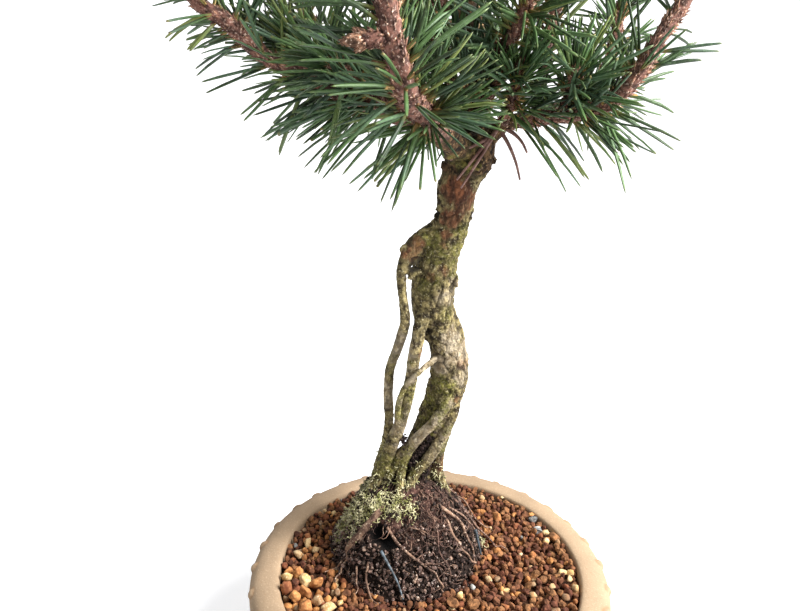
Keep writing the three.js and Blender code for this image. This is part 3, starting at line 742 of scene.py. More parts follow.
def smooth_outline(points, step):
    """Evenly spaced points on a smooth curve through (radius, height) points."""
    line = LimbLine([(radius, 0, height, 0) for radius, height in points])
    run = Run(line, 0, line.spans, step)
    return run.centres[:, [0, 2]]


def pot_outline():
    outside = smooth_outline(POT_OUTSIDE, 0.5)
    coarse = outside[outside[:, 1] < 50][::6]
    fine = outside[outside[:, 1] >= 50]
    inside = smooth_outline(POT_INSIDE, 3.5)[1:]
    foot = [(radius, 0.0) for radius in (12, 30, POT_FOOT - 1)]
    floor = [(radius, POT_FLOOR) for radius in (30, 12)]
    return np.vstack([foot, [(POT_FOOT, 0.25)], coarse, fine, inside, floor])


def pot_mesh(settings):
    """The turned clay, pushed a little out of round, with its studs raised from the same skin."""
    outline = pot_outline()
    points = turned_points(outline, around(POT_SIDES))
    upper = smoothstep(6, 30, points[:, 2])
    flat_angle = np.arctan2(points[:, 1], points[:, 0])
    outward = np.stack([np.cos(flat_angle), np.sin(flat_angle), np.zeros(len(points))], axis=1)
    push = 0.45 * wander(points, 34, 1) + 0.16 * wander(points, 9, 2) + 0.05 * wander(points, 2.5, 3)
    push *= upper
    dip = (0.25 * wander(points, 30, 4) + 0.1 * wander(points, 8, 5)) * smoothstep(40, 58, points[:, 2])
    points = points + outward * push[:, None] + np.array([0, 0, 1]) * dip[:, None]
    random = np.random.default_rng(32)
    stud_radius = settings.stud_radius / MM
    stud_height = settings.stud_height / MM
    pressed = np.zeros(len(points))
    outer = (points[:, 2] > 50) & (np.hypot(points[:, 0], points[:, 1]) > 71)
    for i in range(settings.stud_count):
        angle = STUD_FIRST + i / settings.stud_count * 2 * np.pi + random.normal() * 0.008
        aim = np.array([math.cos(angle), math.sin(angle), 0])
        side = np.array([-aim[1], aim[0], 0])
        middle = aim * STUD_DISTANCE + np.array([0, 0, STUD_LEVEL + random.normal() * 0.3])
        press = aim * math.cos(STUD_TILT) + np.array([0, 0, math.sin(STUD_TILT)])
        size = stud_radius * random.uniform(0.84, 1.14)
        offset = points - middle
        offset -= (offset @ press)[:, None] * press
        sideways = offset @ side
        upward = offset @ np.cross(press, side)
        near = outer & (np.linalg.norm(points - middle, axis=1) < 2 * stud_radius)
        edge = size * (1 + 0.12 * np.sin(3 * np.arctan2(upward, sideways) + random.uniform(0, 6)))
        away = np.hypot(sideways * random.uniform(0.88, 1.05), upward) / edge
        dome = np.where(near, np.clip(1 - away ** 2.6, 0, 1) ** 0.6, 0)
        points = points + press * (stud_height * random.uniform(0.8, 1.15) * dome)[:, None]
        # Painted shade: a ring where each stud meets the pot, along the crease round its edge
        pressed = np.maximum(pressed, np.where(near, np.exp(-((away - 1.06) / 0.16) ** 2), 0))
    ends = [(0, 0, 0), (0, 0, POT_FLOOR)]
    quads, tris = ring_faces(len(outline), POT_SIDES)
    marks = {"pressed": np.concatenate([pressed, [0, 0]])}
    return make_mesh("pot_clay", np.vstack([points, ends]), quads, tris, marks)


def drilled(mesh):
    """Cuts the drain holes through the pot's floor."""
    holder = link_object("pot_rough", mesh)
    cutters = []
    for hand in (-1, 1):
        shape = bmesh.new()
        bmesh.ops.create_cone(shape, cap_ends=True, segments=48, radius1=DRAIN_RADIUS * MM,
                              radius2=DRAIN_RADIUS * MM, depth=4 * POT_FLOOR * MM)
        cutter_mesh = bpy.data.meshes.new("drill")
        shape.to_mesh(cutter_mesh)
        shape.free()
        cutter = link_object("drill", cutter_mesh)
        cutter.location = (hand * DRAIN_DISTANCE * MM, 0, 0)
        cutters.append(cutter)
        cut = holder.modifiers.new("drill", "BOOLEAN")
        cut.operation = "DIFFERENCE"
        cut.solver = "EXACT"
        cut.object = cutter
    result = modified(holder)
    for thing in [holder, *cutters]:
        bpy.data.objects.remove(thing)
    result.set_sharp_from_angle(angle=math.radians(50))
    return result


def clay_material(settings):
    material, tree, shader, place = new_material("Unglazed clay")
    node = mottled(tree, place, settings.clay, shaded(settings.clay, 0.84), srgb(190, 167, 141),
                   55, 1500, 0.55)
    dots = put(tree, "TexVoronoi", {"Vector": place, "Scale": 420.0})
    brown = fit(tree, dots.outputs["Distance"], 0.2, 0.08)
    shade = mix(tree, maths(tree, "MULTIPLY", brown, 0.4), node.outputs["Color"], settings.shade)
    # Painted shade: the clay darkens to the hollows colour in the crease round each stud
    shade = mix(tree, maths(tree, "MULTIPLY", mark(tree, "pressed"), 0.7), shade, settings.shade)
    finish_shader(tree, shader, shade, fit(tree, node.outputs["Specks"], 0.3, 0.7, 0.72, 0.92))
    bump(tree, shader, grit_height(tree, place, 1500, 0.6), 0.5, 0.14)
    return material


class BONSAI_OT_pot(bpy.types.Operator):
    """Turn the clay pot, raise its studs and drill its drain holes"""

    bl_idname = "bonsai.pot"
    bl_label = "Pot"

    def execute(self, context):
        settings = context.scene.bonsai.pot
        mesh = drilled(pot_mesh(settings))
        mesh.materials.clear()
        add_piece("pot_clay", mesh, clay_material(settings), "clay", "pot")
        return {"FINISHED"}


class BONSAI_OT_screens(bpy.types.Operator):
    """Give the drain screens their woven black plastic"""

    bl_idname = "bonsai.screens"
    bl_label = "Drain screens"

    def execute(self, context):
        material, tree, shader, place = new_material("Screen plastic")
        node = mottled(tree, place, srgb(46, 46, 48), srgb(28, 28, 30), srgb(96, 84, 70), 300, 1800, 0.4)
        finish_shader(tree, shader, node.outputs["Color"], 0.55, 0.4)
        bump(tree, shader, grit_height(tree, place, 2500, 0.2), 0.3, 0.05)
        for name in ("drain_screen_1", "drain_screen_2"):
            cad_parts[name].data.materials.clear()
            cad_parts[name].data.materials.append(material)
        return {"FINISHED"}


# Soil


def ball_centre(height):
    """The middle of the root ball, which leans back towards its crown."""
    part = np.clip((height - BALL_FOOT_LEVEL) / (BALL_CROWN_LEVEL - BALL_FOOT_LEVEL), 0, 1)
    return BALL_FOOT + (BALL_CROWN - BALL_FOOT) * part


def ball_reach(height, angle):
    """The root ball's radius at a height and an angle."""
    radii, heights = np.array(BALL_PROFILE).T
    lump = BALL_LUMP * (np.sin(3 * angle + height / 9) + 0.6 * np.sin(7 * angle - height / 5))
    return np.interp(height, heights, radii) + lump


def beside_ball(x, y, height):
    """How far a place is outside the root ball's skin."""
    cx, cy = ball_centre(height)
    angle = math.atan2(y - cy, x - cx)
    return math.hypot(x - cx, y - cy) - float(ball_reach(height, angle))


# The bed: how much it rises behind the tree, how it leans to the left for each millimetre, the large grains
# that lie hidden as (radius, count), and when the fall ends
BACK_RISE = 1.7
LEAN = 0.012
HIDDEN_LAYERS = ((2.0, 260), (1.5, 620))
MOST_GRAINS = 4600
MOST_MISSES = 70


def rise_behind(y):
    """How much higher the lowest grains lie behind the tree than in front."""
    return BACK_RISE * smoothstep(8, 56, y)


class Fall:
    """Grains that fall one by one, each to the lowest of a few random places.

    They are kept in squares as wide as CELL. NESTLE and SINK let stones that aren't round lie closer.
    """

    CELL = 7.0
    FLOOR = 56.4
    NESTLE = 0.94
    SINK = 0.92

    def __init__(self, random):
        self.random = random
        self.cells = {}

    def cell_of(self, x, y):
        return math.floor(x / self.CELL), math.floor(y / self.CELL)

    def rest_height(self, x, y, radius):
        height = self.FLOOR + radius + rise_behind(y)
        column, row = self.cell_of(x, y)
        for i in (column - 1, column, column + 1):
            for j in (row - 1, row, row + 1):
                for gx, gy, gz, gr in self.cells.get((i, j), ()):
                    reach = (radius + gr) * self.NESTLE
                    gap = (x - gx) ** 2 + (y - gy) ** 2
                    if gap < reach * reach:
                        height = max(height, gz + math.sqrt(reach * reach - gap) * self.SINK)
        return height

    def fits(self, x, y, radius):
        wall = RIM_INNER - 0.1 - radius * 0.8
        return math.hypot(x, y) < wall and beside_ball(x, y, 58) > 0.15 * radius

    def put(self, x, y, z, radius):
        self.cells.setdefault(self.cell_of(x, y), []).append((x, y, z, radius))

    def drop(self, radius, tries):
        """The lowest of several places where a grain comes to rest, or None."""
        best = None
        lowest = math.inf
        for _ in range(tries):
            turn = self.random.uniform(0, 2 * math.pi)
            reach = RIM_INNER * math.sqrt(self.random.uniform(0.08, 1))
            x = reach * math.cos(turn)
            y = reach * math.sin(turn)
            if not self.fits(x, y, radius):
                continue
            height = self.rest_height(x, y, radius)
            level = height + LEAN * x - rise_behind(y)
            if level < lowest:
                lowest = level
                best = (x, y, height)
        return best


# Stones of their own: x, y, radius, tint, kind
OWN_STONES = [
    (-52.4, -12.4, 2.5, 0.95, "cream"), (-56.3, -8.6, 2.3, 0.85, "ochre"), (-61.0, -10.4, 2.0, 0.8, "cream"),
    (-55.8, -22.3, 2.5, 0.75, "ochre"), (-50.6, -27.2, 2.2, 0.75, "ochre"), (-59.8, -17.6, 2.3, 0.3, "ochre"),
    (-47.6, -14.5, 2.4, 0.8, "ochre"), (-46.0, -19.2, 2.3, 0.8, "ochre"), (-58.2, 4.4, 2.0, 0.5, "cream"),
    (-41.5, -27.4, 2.0, 0.7, "cream"), (-46.0, -24.6, 2.4, 0.4, "cream"), (-51.5, -19.4, 2.3, 0.7, "ochre"),
    (-56.6, -14.6, 1.9, 0.2, "brown"), (-55.0, 12.0, 1.9, 0.7, "cream"), (-51.0, 8.0, 1.8, 0.6, "cream"),
    (53.3, 26.1, 2.2, 0.95, "grey"), (56.4, 24.0, 1.7, 0.85, "cream"), (55.4, 17.6, 1.6, 0.8, "cream"),
    (58.0, -3.5, 1.6, 0.9, "cream"), (60.4, 19.8, 2.7, 0.9, "brown"), (35.0, 35.5, 2.5, 0.7, "ochre"),
    (28.5, 39.5, 1.8, 0.9, "ochre"), (54.0, 2.6, 1.8, 0.9, "ochre"), (60.2, -7.6, 1.6, 0.6, "cream"),
    (52.0, 33.0, 1.7, 0.2, "grey"), (30.0, 18.0, 1.7, 0.7, "ochre"), (31.0, 10.0, 1.7, 0.8, "ochre"),
    (8.5, -24.5, 2.1, 0.8, "brown"), (17.0, -24.0, 2.5, 0.9, "brown"), (25.5, -9.5, 1.7, 0.5, "cream"),
    (46.0, -5.0, 2.0, 0.9, "brown"), (49.0, -8.0, 1.8, 0.8, "brown"), (61.0, -14.0, 1.6, 0.7, "cream"),
]


def left_share(x, y):
    """1 among the large pebbles at the pot's front left, 0 among the fine grains elsewhere."""
    return float(smoothstep(-36, -46, x) * smoothstep(6, -8, y))


def fall_of_grains(settings):
    """Lists (x, y, z, radius, kind, tint) for all the grains."""
    random = np.random.default_rng(settings.seed)
    fall = Fall(random)
    level = settings.level / MM
    grains = []

    def lay(spot, size, kind, tint):
        fall.put(*spot, size)
        grains.append((*spot, size, kind, tint))

    def kind_at(x, y, _):
        left = left_share(x, y)
        west = float(smoothstep(-28, -44, x)) * (1 - left)
        pick = random.uniform()
        if pick < 0.11 + 0.4 * left + 0.24 * west:
            return "ochre"
        if pick < 0.135 + 0.5 * left + 0.3 * west:
            return "cream"
        if pick > 0.998:
            return "grey"
        return "brown"

    for radius, count in HIDDEN_LAYERS:
        for _ in range(count):
            size = radius * random.uniform(0.85, 1.2)
            spot = fall.drop(size, 5)
            if spot and spot[2] + size < level - 1.2:
                lay(spot, size, kind_at(*spot), random.uniform())
    for x, y, radius, tint, kind in OWN_STONES:
        lay((x, y, max(fall.rest_height(x, y, radius), level - radius * 0.9)), radius, kind, tint)
    misses = 0
    while misses < MOST_MISSES and len(grains) < MOST_GRAINS:
        left = random.uniform()
        size = 0.85 + 0.85 * random.beta(1.4, 2.2) + 0.9 * random.beta(1, 6)
        spot = fall.drop(size, 7)
        if spot and left_share(spot[0], spot[1]) > left:
            size = random.uniform(1.3, 2.3)
            if not fall.fits(spot[0], spot[1], size):
                continue
            spot = (spot[0], spot[1], fall.rest_height(spot[0], spot[1], size))
        if not spot or spot[2] + size * 0.8 > level + LEAN / 2 * spot[0] + 0.4:
            misses += 1
            continue
        misses = 0
        lay(spot, size, kind_at(*spot), random.uniform())
    return grains


def fill_mesh():
    """The packed soil under the grains: a turned body with a crumbly top."""
    wall = [(radius - 0.4, height) for radius, height in reversed(POT_INSIDE) if height < 54]
    low = POT_FLOOR + 1.9
    outline = [(12, low), (30, low), (39, low), *wall[1:], (64.2, 54.5), (64.2, 57.3)]
    outline = np.array(outline + [(radius, 57.5) for radius in np.arange(62, 3, -1.7)])
    sides = 180
    points = turned_points(outline, around(sides))
    loose = smoothstep(54.5, 57.2, points[:, 2])
    points[:, 2] += loose * (0.7 * wander(points, 2.6, 8) + 0.4 * wander(points, 1.2, 9)) - loose * 0.6
    quads, tris = ring_faces(len(outline), sides)
    ends = [(0, 0, low), (0, 0, 57)]
    return make_mesh("akadama_fill", np.vstack([points, ends]), quads, tris)


class BONSAI_OT_soil(bpy.types.Operator):
    """Fill the pot with akadama, grain by grain"""

    bl_idname = "bonsai.soil"
    bl_label = "Akadama"

    def execute(self, context):
        settings = context.scene.bonsai.soil
        random = np.random.default_rng(settings.seed + 100)
        large = Stones(ball_shape(3), 0.36, 11)
        middling = Stones(ball_shape(2), 0.42, 12)
        small = Stones(small_ball_shape(), 0.42, 13)
        piles = {kind: Pile() for kind in ("brown", "ochre", "cream", "grey")}
        for x, y, z, radius, kind, tint in fall_of_grains(settings):
            stones = large if radius > 2.1 else middling if radius > 1.05 else small
            stretch = 0.3 if radius > 1.9 else 0.22
            stones.lay(piles[kind], random, [(x, y, z)], [radius], stretch, tint=[tint])
        brown = settings.brown
        ochre = settings.ochre
        cream = settings.cream
        finishes = {
            "brown": dry_material("Akadama, brown", brown, shaded(brown, 0.42), srgb(180, 122, 82),
                                  420, 1500, 0.55, 0.92, 0.2, 0.7),
            "ochre": dry_material("Akadama, ochre", ochre, srgb(128, 78, 46), srgb(208, 160, 110),
                                  380, 1400, 0.5, 0.88, 0.16, 0.6),
            "cream": dry_material("Pumice, cream", cream, srgb(166, 128, 84), srgb(232, 216, 182),
                                  360, 1300, 0.6, 0.85, 0.16, 0.6),
            "grey": dry_material("Stone, grey", srgb(168, 166, 160), srgb(96, 96, 96),
                                 srgb(226, 224, 216), 400, 1500, 0.7, 0.7, 0.12, 0.4),
        }
        for kind, pile in piles.items():
            grains = pile.mesh(f"akadama_grains_{kind}", smooth=kind != "brown")
            add_piece(f"akadama_grains_{kind}", grains, finishes[kind], "akadama")
        # The packed fill under the grains is coloured much darker than the grains
        filling = dry_material("Akadama dust", shaded(brown, 0.42), shaded(brown, 0.15), brown,
                               500, 1600, 0.6, 0.95, 0.3, 0.8, tinted=False)
        add_piece("akadama_fill", fill_mesh(), filling, "akadama", "akadama_bed")
        return {"FINISHED"}


# Root ball


def on_ball(height, angle, rise=0.0):
    """A place on the root ball's skin, or over it."""
    cx, cy = ball_centre(height)
    reach = ball_reach(height, angle) + rise
    return np.array([cx + reach * math.cos(angle), cy + reach * math.sin(angle), height])


# Hollows in the ball, dented in and coloured near black as painted shade: x, y, z, reach and depth
HOLLOWS = [
    (-22, -6, 79.5, 4.4, 3.8), (-18.5, -8.5, 77.5, 4.0, 3.4), (-14, -9, 76, 2.4, 1.4), (12, 0, 80, 2.2, 1.2),
]
# The zone under the trunk where fine dead roots hide the peat: x, y, z and reach
FELT_SPOTS = [(-8, 0, 88, 11), (2, 4, 87, 11), (-17, -2, 84, 8), (-10, -6, 82, 8), (4, -3, 82, 6)]


def ball_mesh():
    heights = np.concatenate([np.linspace(24, 50, 6), np.linspace(52, 96.6, 72)])
    sides = 270
    angles = around(sides)
    rings = []
    for height in heights:
        cx, cy = ball_centre(height)
        reach = ball_reach(height, angles)
        rings.append(np.stack([cx + reach * np.cos(angles), cy + reach * np.sin(angles),
                               np.full(sides, height)], axis=1))
    points = np.vstack(rings)
    outward = points - np.array([*BALL_CROWN, 55])
    outward = unit(outward * np.array([1, 1, 0.6]))
    rough = (1.3 * wander(points, 6.5, 21) + 0.9 * wander(points, 2.8, 22) + 0.6 * wander(points, 1.3, 23)
             + 0.3 * wander(points, 0.7, 24))
    rough = np.minimum(rough * smoothstep(45, 56, points[:, 2]), 0.6)
    # Painted shade: a mark that colours the middle of each hollow near black
    hollow = np.zeros(len(points))
    for x, y, z, reach, depth in HOLLOWS:
        gap = np.linalg.norm(points - np.array([x, y, z]), axis=1) / reach
        rough -= depth * smoothstep(1.2, 0.4, gap)
        hollow = np.maximum(hollow, smoothstep(1.25, 0.7, gap))
    felt = np.zeros(len(points))
    for x, y, z, reach in FELT_SPOTS:
        gap = np.linalg.norm(points - np.array([x, y, z]), axis=1) / reach
        felt = np.maximum(felt, smoothstep(1.1, 0.6, gap + 0.25 * wander(points, 3, 25)))
    points = points + outward * (rough - 0.5)[:, None]
    bottom = np.array([*ball_centre(24), 23.0])
    top = np.array([*BALL_CROWN, BALL_CROWN_LEVEL])
    quads, tris = ring_faces(len(heights), sides)
    marks = {"felt": felt * (1 - hollow), "hollow": hollow}
    marks = {key: np.concatenate([values, [0, 0]]) for key, values in marks.items()}
    return make_mesh("root_ball_peat", np.vstack([points, bottom, top]), quads, tris, marks)


def peat_material(settings):
    material, tree, shader, place = new_material("Peat")
    peat = mottled(tree, place, settings.peat, shaded(settings.peat, 0.3), srgb(104, 84, 72),
                   420, 1500, 0.6)
    felt = mottled(tree, place, settings.fibre, shaded(settings.fibre, 0.35), srgb(178, 146, 126),
                   500, 1500, 0.8)
    shade = mix(tree, mark(tree, "felt"), peat.outputs["Color"], felt.outputs["Color"])
    # Painted shade: the hollows are coloured near black
    shade = mix(tree, mark(tree, "hollow"), shade, srgb(5, 4, 4))
    finish_shader(tree, shader, shade, 0.95, 0.2)
    bump(tree, shader, grit_height(tree, place, 1100, 0.8), 0.8, 0.45)
    return material


def in_hollow(place):
    """True for a place that crumbs and fibres leave free."""
    return any(np.linalg.norm(place - np.array([x, y, z])) < 0.85 * reach for x, y, z, reach, _ in HOLLOWS)


def spots_on_ball(random, count, low=56, high=95):
    """Random heights and angles, even over the ball's skin."""
    spots = []
    while len(spots) < count:
        height = random.uniform(low, high)
        if random.uniform() * WIDEST < ball_reach(height, 0.0):
            spots.append((height, random.uniform(-math.pi, math.pi)))
    return spots


# Fine roots over the front of the ball: radius, tint and path
FINE_ROOTS = [
    (0.85, 0.9, [(-18.5, -5.5, 83), (-14, -9.8, 78.3), (-9, -12.6, 75), (-3, -14.4, 71.4), (2, -15.2, 68),
                 (5.5, -17.2, 62.5), (6.5, -18.5, 59.5)]),
    (0.6, 0.7, [(-3, -14.4, 71.4), (2.5, -13.5, 71), (7, -11.5, 71.5)]),
    (1.0, 0.9, [(2.5, 3, 88.5), (6, 0.6, 84), (8.6, -1, 79.5), (12.6, -2.4, 73.5), (16.8, -2.6, 67.4),
                (20.2, -1.8, 62.6)]),
    (1.1, 1.0, [(4, 3, 88), (9, 2.4, 84.4), (14.4, 2.8, 78.2), (17, 1.6, 72), (19.6, 0.6, 65),
                (20.6, -0.4, 62)]),
    (0.7, 0.7, [(8, 5, 86), (14.6, 7.2, 80.5), (21, 8.2, 71.5), (24.4, 7, 63.6)]),
    (0.8, 0.6, [(10, 12, 86.5), (18.4, 11.4, 76.4), (25, 13.4, 67), (31, 10.6, 61.6), (36, 9.6, 60.8)]),
    (0.6, 0.8, [(9, 16, 88), (17, 20.4, 78.5), (27, 18, 66.6), (31, 22, 61.5)]),
    (0.75, 0.95, [(-34, -2.6, 71.5), (-35.5, -6, 66.5), (-38, -9.5, 62.6), (-40, -14, 61.4)]),
    (0.6, 0.9, [(-33, -4, 70), (-36, -3, 65.4), (-40, -5, 61.6), (-45, -8, 61.6)]),
    (0.7, 0.85, [(-26, -12.4, 71), (-26.8, -15.9, 65.6), (-25, -20.5, 61), (-22, -25, 60.6)]),
    (0.55, 0.8, [(-31, -11.9, 68), (-30.8, -16.2, 63), (-31, -20, 60.8)]),
    (0.4, 0.5, [(-1, 0.5, 88.5), (3, -5.6, 80.4), (4.5, -10.6, 73), (9, -13.6, 64.6)]),
    (0.45, 0.9, [(-9, -7, 84), (-2, -8, 82.4), (3, -7.4, 80)]),
]
# Old needles that lie on the ball, each as a path
FALLEN_NEEDLES = [
    [(-20.8, -11.8, 75.8), (-17, -16.4, 71.6), (-13.6, -20, 66.8), (-11.3, -23.6, 61.8)],
    [(20, 2.6, 76.5), (21.4, 1.4, 71), (22.8, 0, 65.5)],
]
# Peat caught between the roots: x, y, z, reach and count of crumbs
PEAT_BETWEEN_ROOTS = [
    (-12.4, 9, 117, 1.6, 22), (-10.6, 10, 113, 2.2, 34), (-8.3, 11.5, 106, 2.6, 40),
    (-5.7, 12, 109.5, 2.4, 40), (-3.2, 12.6, 112.4, 2.4, 40), (-0.7, 12.8, 116, 2.2, 34),
    (1.7, 13, 120.7, 2.0, 26), (3.3, 13, 125, 1.6, 16), (-6.9, 12, 104.5, 2.4, 30),
    (-2, 13, 104, 2.4, 30), (-3, 12, 99, 2.6, 34),
]
# The one thick root that runs down the ball's left: (x, y, z, radius)
THICK_ROOT = [
    (-18, 6, 88, 1.2), (-22, 0.4, 86.6, 1.6), (-25.5, -2, 83, 1.6), (-29, -3.2, 79, 1.6),
    (-32.5, -3.4, 74.4, 1.5), (-35.3, -3.2, 70, 1.2), (-36.2, -2.6, 66, 0.8), (-36.4, -3, 61.5, 0.5),
]
THICK_ROOT_SIDES = 14
# Roots with moss on their feet, and between which places of their paths
MOSSY_ROOTS = {0: (10.6, 12.3), 1: (6.6, 8.3), 3: (5.6, 7.4), 4: (4.4, 6.6), 6: (1.6, 4.6), 5: (2.6, 4.4)}
# Patches of moss: x, y, z, reach and count of strands. The patches right of PALE_MOSS_FROM are the palest
MOSS_SPOTS = [
    (-37, 8, 79, 6.5, 330), (-30, 3, 84, 5.5, 280), (-40, 10, 70, 6, 190), (-24, 0, 88, 5, 250),
    (-15, -1, 90, 4.5, 150), (-9, 0, 89, 3.5, 70), (-33, 14, 88, 6, 130), (-36, -3, 74, 3, 40),
    (28, 14, 60.5, 2.5, 55),
]
PALE_MOSS_FROM = -27
STRANDS_A_ROOT = 70
# How many pale grains and short dead roots are tried, and the sides where they lie thickest, as turns from +X
GRIT_COUNT = 2300
GRIT_SIDE = math.radians(245)
FIBRE_COUNT = 1300
FIBRE_SIDE = math.radians(275)


def crooked(path, amount, random):
    """The same way with a bend put in between each two points."""
    points = [np.array(path[0], float)]
    for after in path[1:]:
        after = np.array(after, float)
        points.append((points[-1] + after) / 2 + random.normal(size=3) * amount)
        points.append(after)
    return points


class BONSAI_OT_root_ball(bpy.types.Operator):
    """Heap the root ball's peat, crumbs, fine roots and moss"""

    bl_idname = "bonsai.root_ball"
    bl_label = "Root ball"

    def execute(self, context):
        settings = context.scene.bonsai.ball
        random = np.random.default_rng(77)
        add_piece("root_ball_peat", ball_mesh(), peat_material(settings), "peat", "root_ball")
        self.crumbs(settings, random)
        self.fibres(settings, random)
        self.moss(settings, random)
        self.needles(random)
        return {"FINISHED"}

    def crumbs(self, settings, random):
        """Dark crumbs over the ball and among the roots, and pale grit on its front left and its back."""
        tiny = Stones(ball_shape(1), 0.34, 31)
        small = Stones(small_ball_shape(), 0.34, 32)
        dark = Pile()
        pale = Pile()
        for height, angle in spots_on_ball(random, settings.crumbs):
            size = 0.35 + 0.75 * random.beta(1.2, 3.0)
            place = on_ball(height, angle, 0.1 + 0.5 * size + 0.7 * random.uniform())
            if in_hollow(place):
                continue
            stones = small if size > 0.8 else tiny
            stones.lay(dark, random, [place], [size], 0.35, tint=[random.uniform()])
        for height, angle in spots_on_ball(random, GRIT_COUNT, 56, 84):
            front_left = math.cos(angle - GRIT_SIDE)
            crowded = 0.25 + 0.75 * smoothstep(-0.1, 0.7, front_left) * smoothstep(80, 70, height)
            crowded = max(crowded, 0.55 * smoothstep(0.2, -0.2, math.sin(angle)) * smoothstep(84, 76, height))
            if random.uniform() > crowded:
                continue
            size = 0.35 + 0.75 * random.beta(1.2, 2.4)
            place = on_ball(height, angle, 0.2 + 0.5 * size + 0.8 * random.uniform())
            if in_hollow(place):
                continue
            stones = small if size > 0.6 else tiny
            stones.lay(pale, random, [place], [size], 0.4, tint=[random.beta(0.9, 2.0)])
        for x, y, z, reach, count in PEAT_BETWEEN_ROOTS:
            for _ in range(count * 3):
                place = np.array([x, y, z]) + random.normal(size=3) * reach * 0.5
                size = 0.28 + 0.5 * random.beta(1.2, 3)
                small.lay(dark, random, [place], [size], 0.35, tint=[random.beta(0.8, 4)])
        crumb = dry_material("Peat crumbs", srgb(64, 50, 43), srgb(20, 15, 13), srgb(132, 108, 94),
                             600, 1800, 0.5, 0.95, 0.25, 0.7)
        grain = dry_material("Pale grit", srgb(142, 116, 100), srgb(74, 54, 46), srgb(222, 212, 200),
                             420, 1500, 0.8, 0.75, 0.12, 0.4)
        add_piece("root_ball_crumbs", dark.mesh("root_ball_crumbs"), crumb, "peat")
        add_piece("root_ball_grit", pale.mesh("root_ball_grit", smooth=False), grain, "peat")

    def fibres(self, settings, random):
        """Roots that run down the ball, and a felt of short dead ones under the trunk."""
        pile = Pile()
        for radius, tint, path in FINE_ROOTS:
            strand(pile, crooked(path, 0.6, random), radius * 0.8, sides=7, step=0.7, tint=tint)
        line = LimbLine(THICK_ROOT)
        run = Run(line, 0, line.spans, 0.6)
        swell = (0.2 * swell_round(run, THICK_ROOT_SIDES, 2.4, 2.4, 33)
                 + 0.14 * swell_round(run, THICK_ROOT_SIDES, 2.4, 1.0, 34))
        run.tube(pile, THICK_ROOT_SIDES, 1 + swell, tint=0.95)
        for height, angle in spots_on_ball(random, FIBRE_COUNT, 60, 96):
            zone = math.cos(angle - FIBRE_SIDE)
            if random.uniform() > 0.25 + 0.75 * smoothstep(0.0, 0.6, zone) * smoothstep(72, 80, height):
                continue
            if in_hollow(on_ball(height, angle, 1.0)):
                continue
            way = random.uniform(-0.8, 0.8)
            reach = random.uniform(2, 6)
            lift = random.uniform(0.3, 1.6)
            path = []
            for step in range(4):
                low = height - reach * step / 3 * random.uniform(0.7, 1)
                turn = angle + way * reach * step / 3 / 16 + random.normal() * 0.04
                path.append(on_ball(min(low, 96), turn, 0.4 + lift * math.sin(step / 3 * math.pi)))
            strand(pile, path, random.uniform(0.12, 0.3), sides=3, step=1.3, tint=random.uniform(0, 0.9))
        finish = dry_material("Fine roots", srgb(124, 95, 80), srgb(62, 42, 36), srgb(190, 164, 144),
                              300, 1300, 0.7, 0.8, 0.15, 0.5)
        add_piece("root_ball_fibres", pile.mesh("root_ball_fibres"), finish, "peat")

    def moss(self, settings, random):
        """Pale curled strands on the ball's left shoulder and round the foot of the roots."""
        pile = Pile()
        for x, y, z, reach, count in MOSS_SPOTS:
            middle = np.array([x, y, z])
            palest = 0.55 if x > PALE_MOSS_FROM else 0.1
            for _ in range(count):
                spot = middle + random.normal(size=3) * reach * 0.5
                cx, cy = ball_centre(spot[2])
                angle = math.atan2(spot[1] - cy, spot[0] - cx)
                start = on_ball(float(np.clip(spot[2], 60, 95)), angle, random.uniform(0.2, 1.6))
                way = unit(random.normal(size=3) + np.array([-0.3, -0.9, 0.5]))
                curl = unit(np.cross(way, random.normal(size=3)))
                long = random.uniform(1.0, 3.0)
                path = [start, start + way * long * 0.4 + curl * long * 0.28,
                        start + way * long * 0.75 - curl * long * 0.2, start + way * long]
                strand(pile, path, random.uniform(0.17, 0.32), sides=3, step=1.1,
                       tint=palest + (1 - palest) * random.uniform())
        for number, places in MOSSY_ROOTS.items():
            line = LimbLine(ROOTS[number])
            for _ in range(STRANDS_A_ROOT):
                centre, radius = line.at(random.uniform(*places))
                out = unit(random.normal(size=3) + np.array([-0.4, -1.0, 0.2]))
                start = centre + out * radius * 0.95
                way = unit(out + random.normal(size=3) * 0.9)
                long = random.uniform(1.0, 2.4)
                curl = unit(np.cross(way, random.normal(size=3))) * long * 0.15
                strand(pile, [start, start + way * long * 0.5 + curl, start + way * long],
                       random.uniform(0.22, 0.38), sides=3, step=0.9, tint=random.uniform(0.3, 1))
        finish = dry_material("Moss strands", settings.moss, srgb(134, 132, 78), srgb(230, 220, 194),
                              300, 1400, 0.6, 0.9, 0.1, 0.3)
        add_piece("root_ball_moss", pile.mesh("root_ball_moss"), finish, "peat")

    def needles(self, random):
        """Old needles that lie on the ball."""
        pile = Pile()
        for path in FALLEN_NEEDLES:
            strand(pile, path, 0.72, sides=6, step=1.0, tint=0.6)
        finish = dry_material("Fallen needles", srgb(84, 96, 104), srgb(52, 58, 62), srgb(140, 152, 160),
                              260, 1200, 0.5, 0.45, 0.05, 0.3)
        add_piece("root_ball_fallen_needles", pile.mesh("root_ball_fallen_needles"), finish, "needles")


# Trunk, roots and bare boughs


def wood_groups():
    """Limbs as (number in ROOTS or name in BOUGHS) that share a skin, and how fine it is.

    Roots that only lie against others keep a skin of their own, so that a crease stays between them.
    """
    return [(["trunk", 0, 5], 1.0), ([1, 6], 0.9), ([2], 0.8), ([3], 0.9), ([4], 0.9), (list(BOUGHS), 1.8)]


def limb_run(key):
    """The stands of a woody limb and its kind: 0 for the trunk, 1 for a root, 2 for a bough."""
    if key == "trunk":
        return Run(LimbLine(TRUNK), 0.3, len(TRUNK) - 1, 1.0), 0
    if key in BOUGHS:
        needles_from, _, path = BOUGHS[key]
        return Run(LimbLine(path), 0, needles_from + 0.2, 1.0), 2
    return Run(LimbLine(ROOTS[key]), 0, len(ROOTS[key]) - 1.3, 1.0), 1


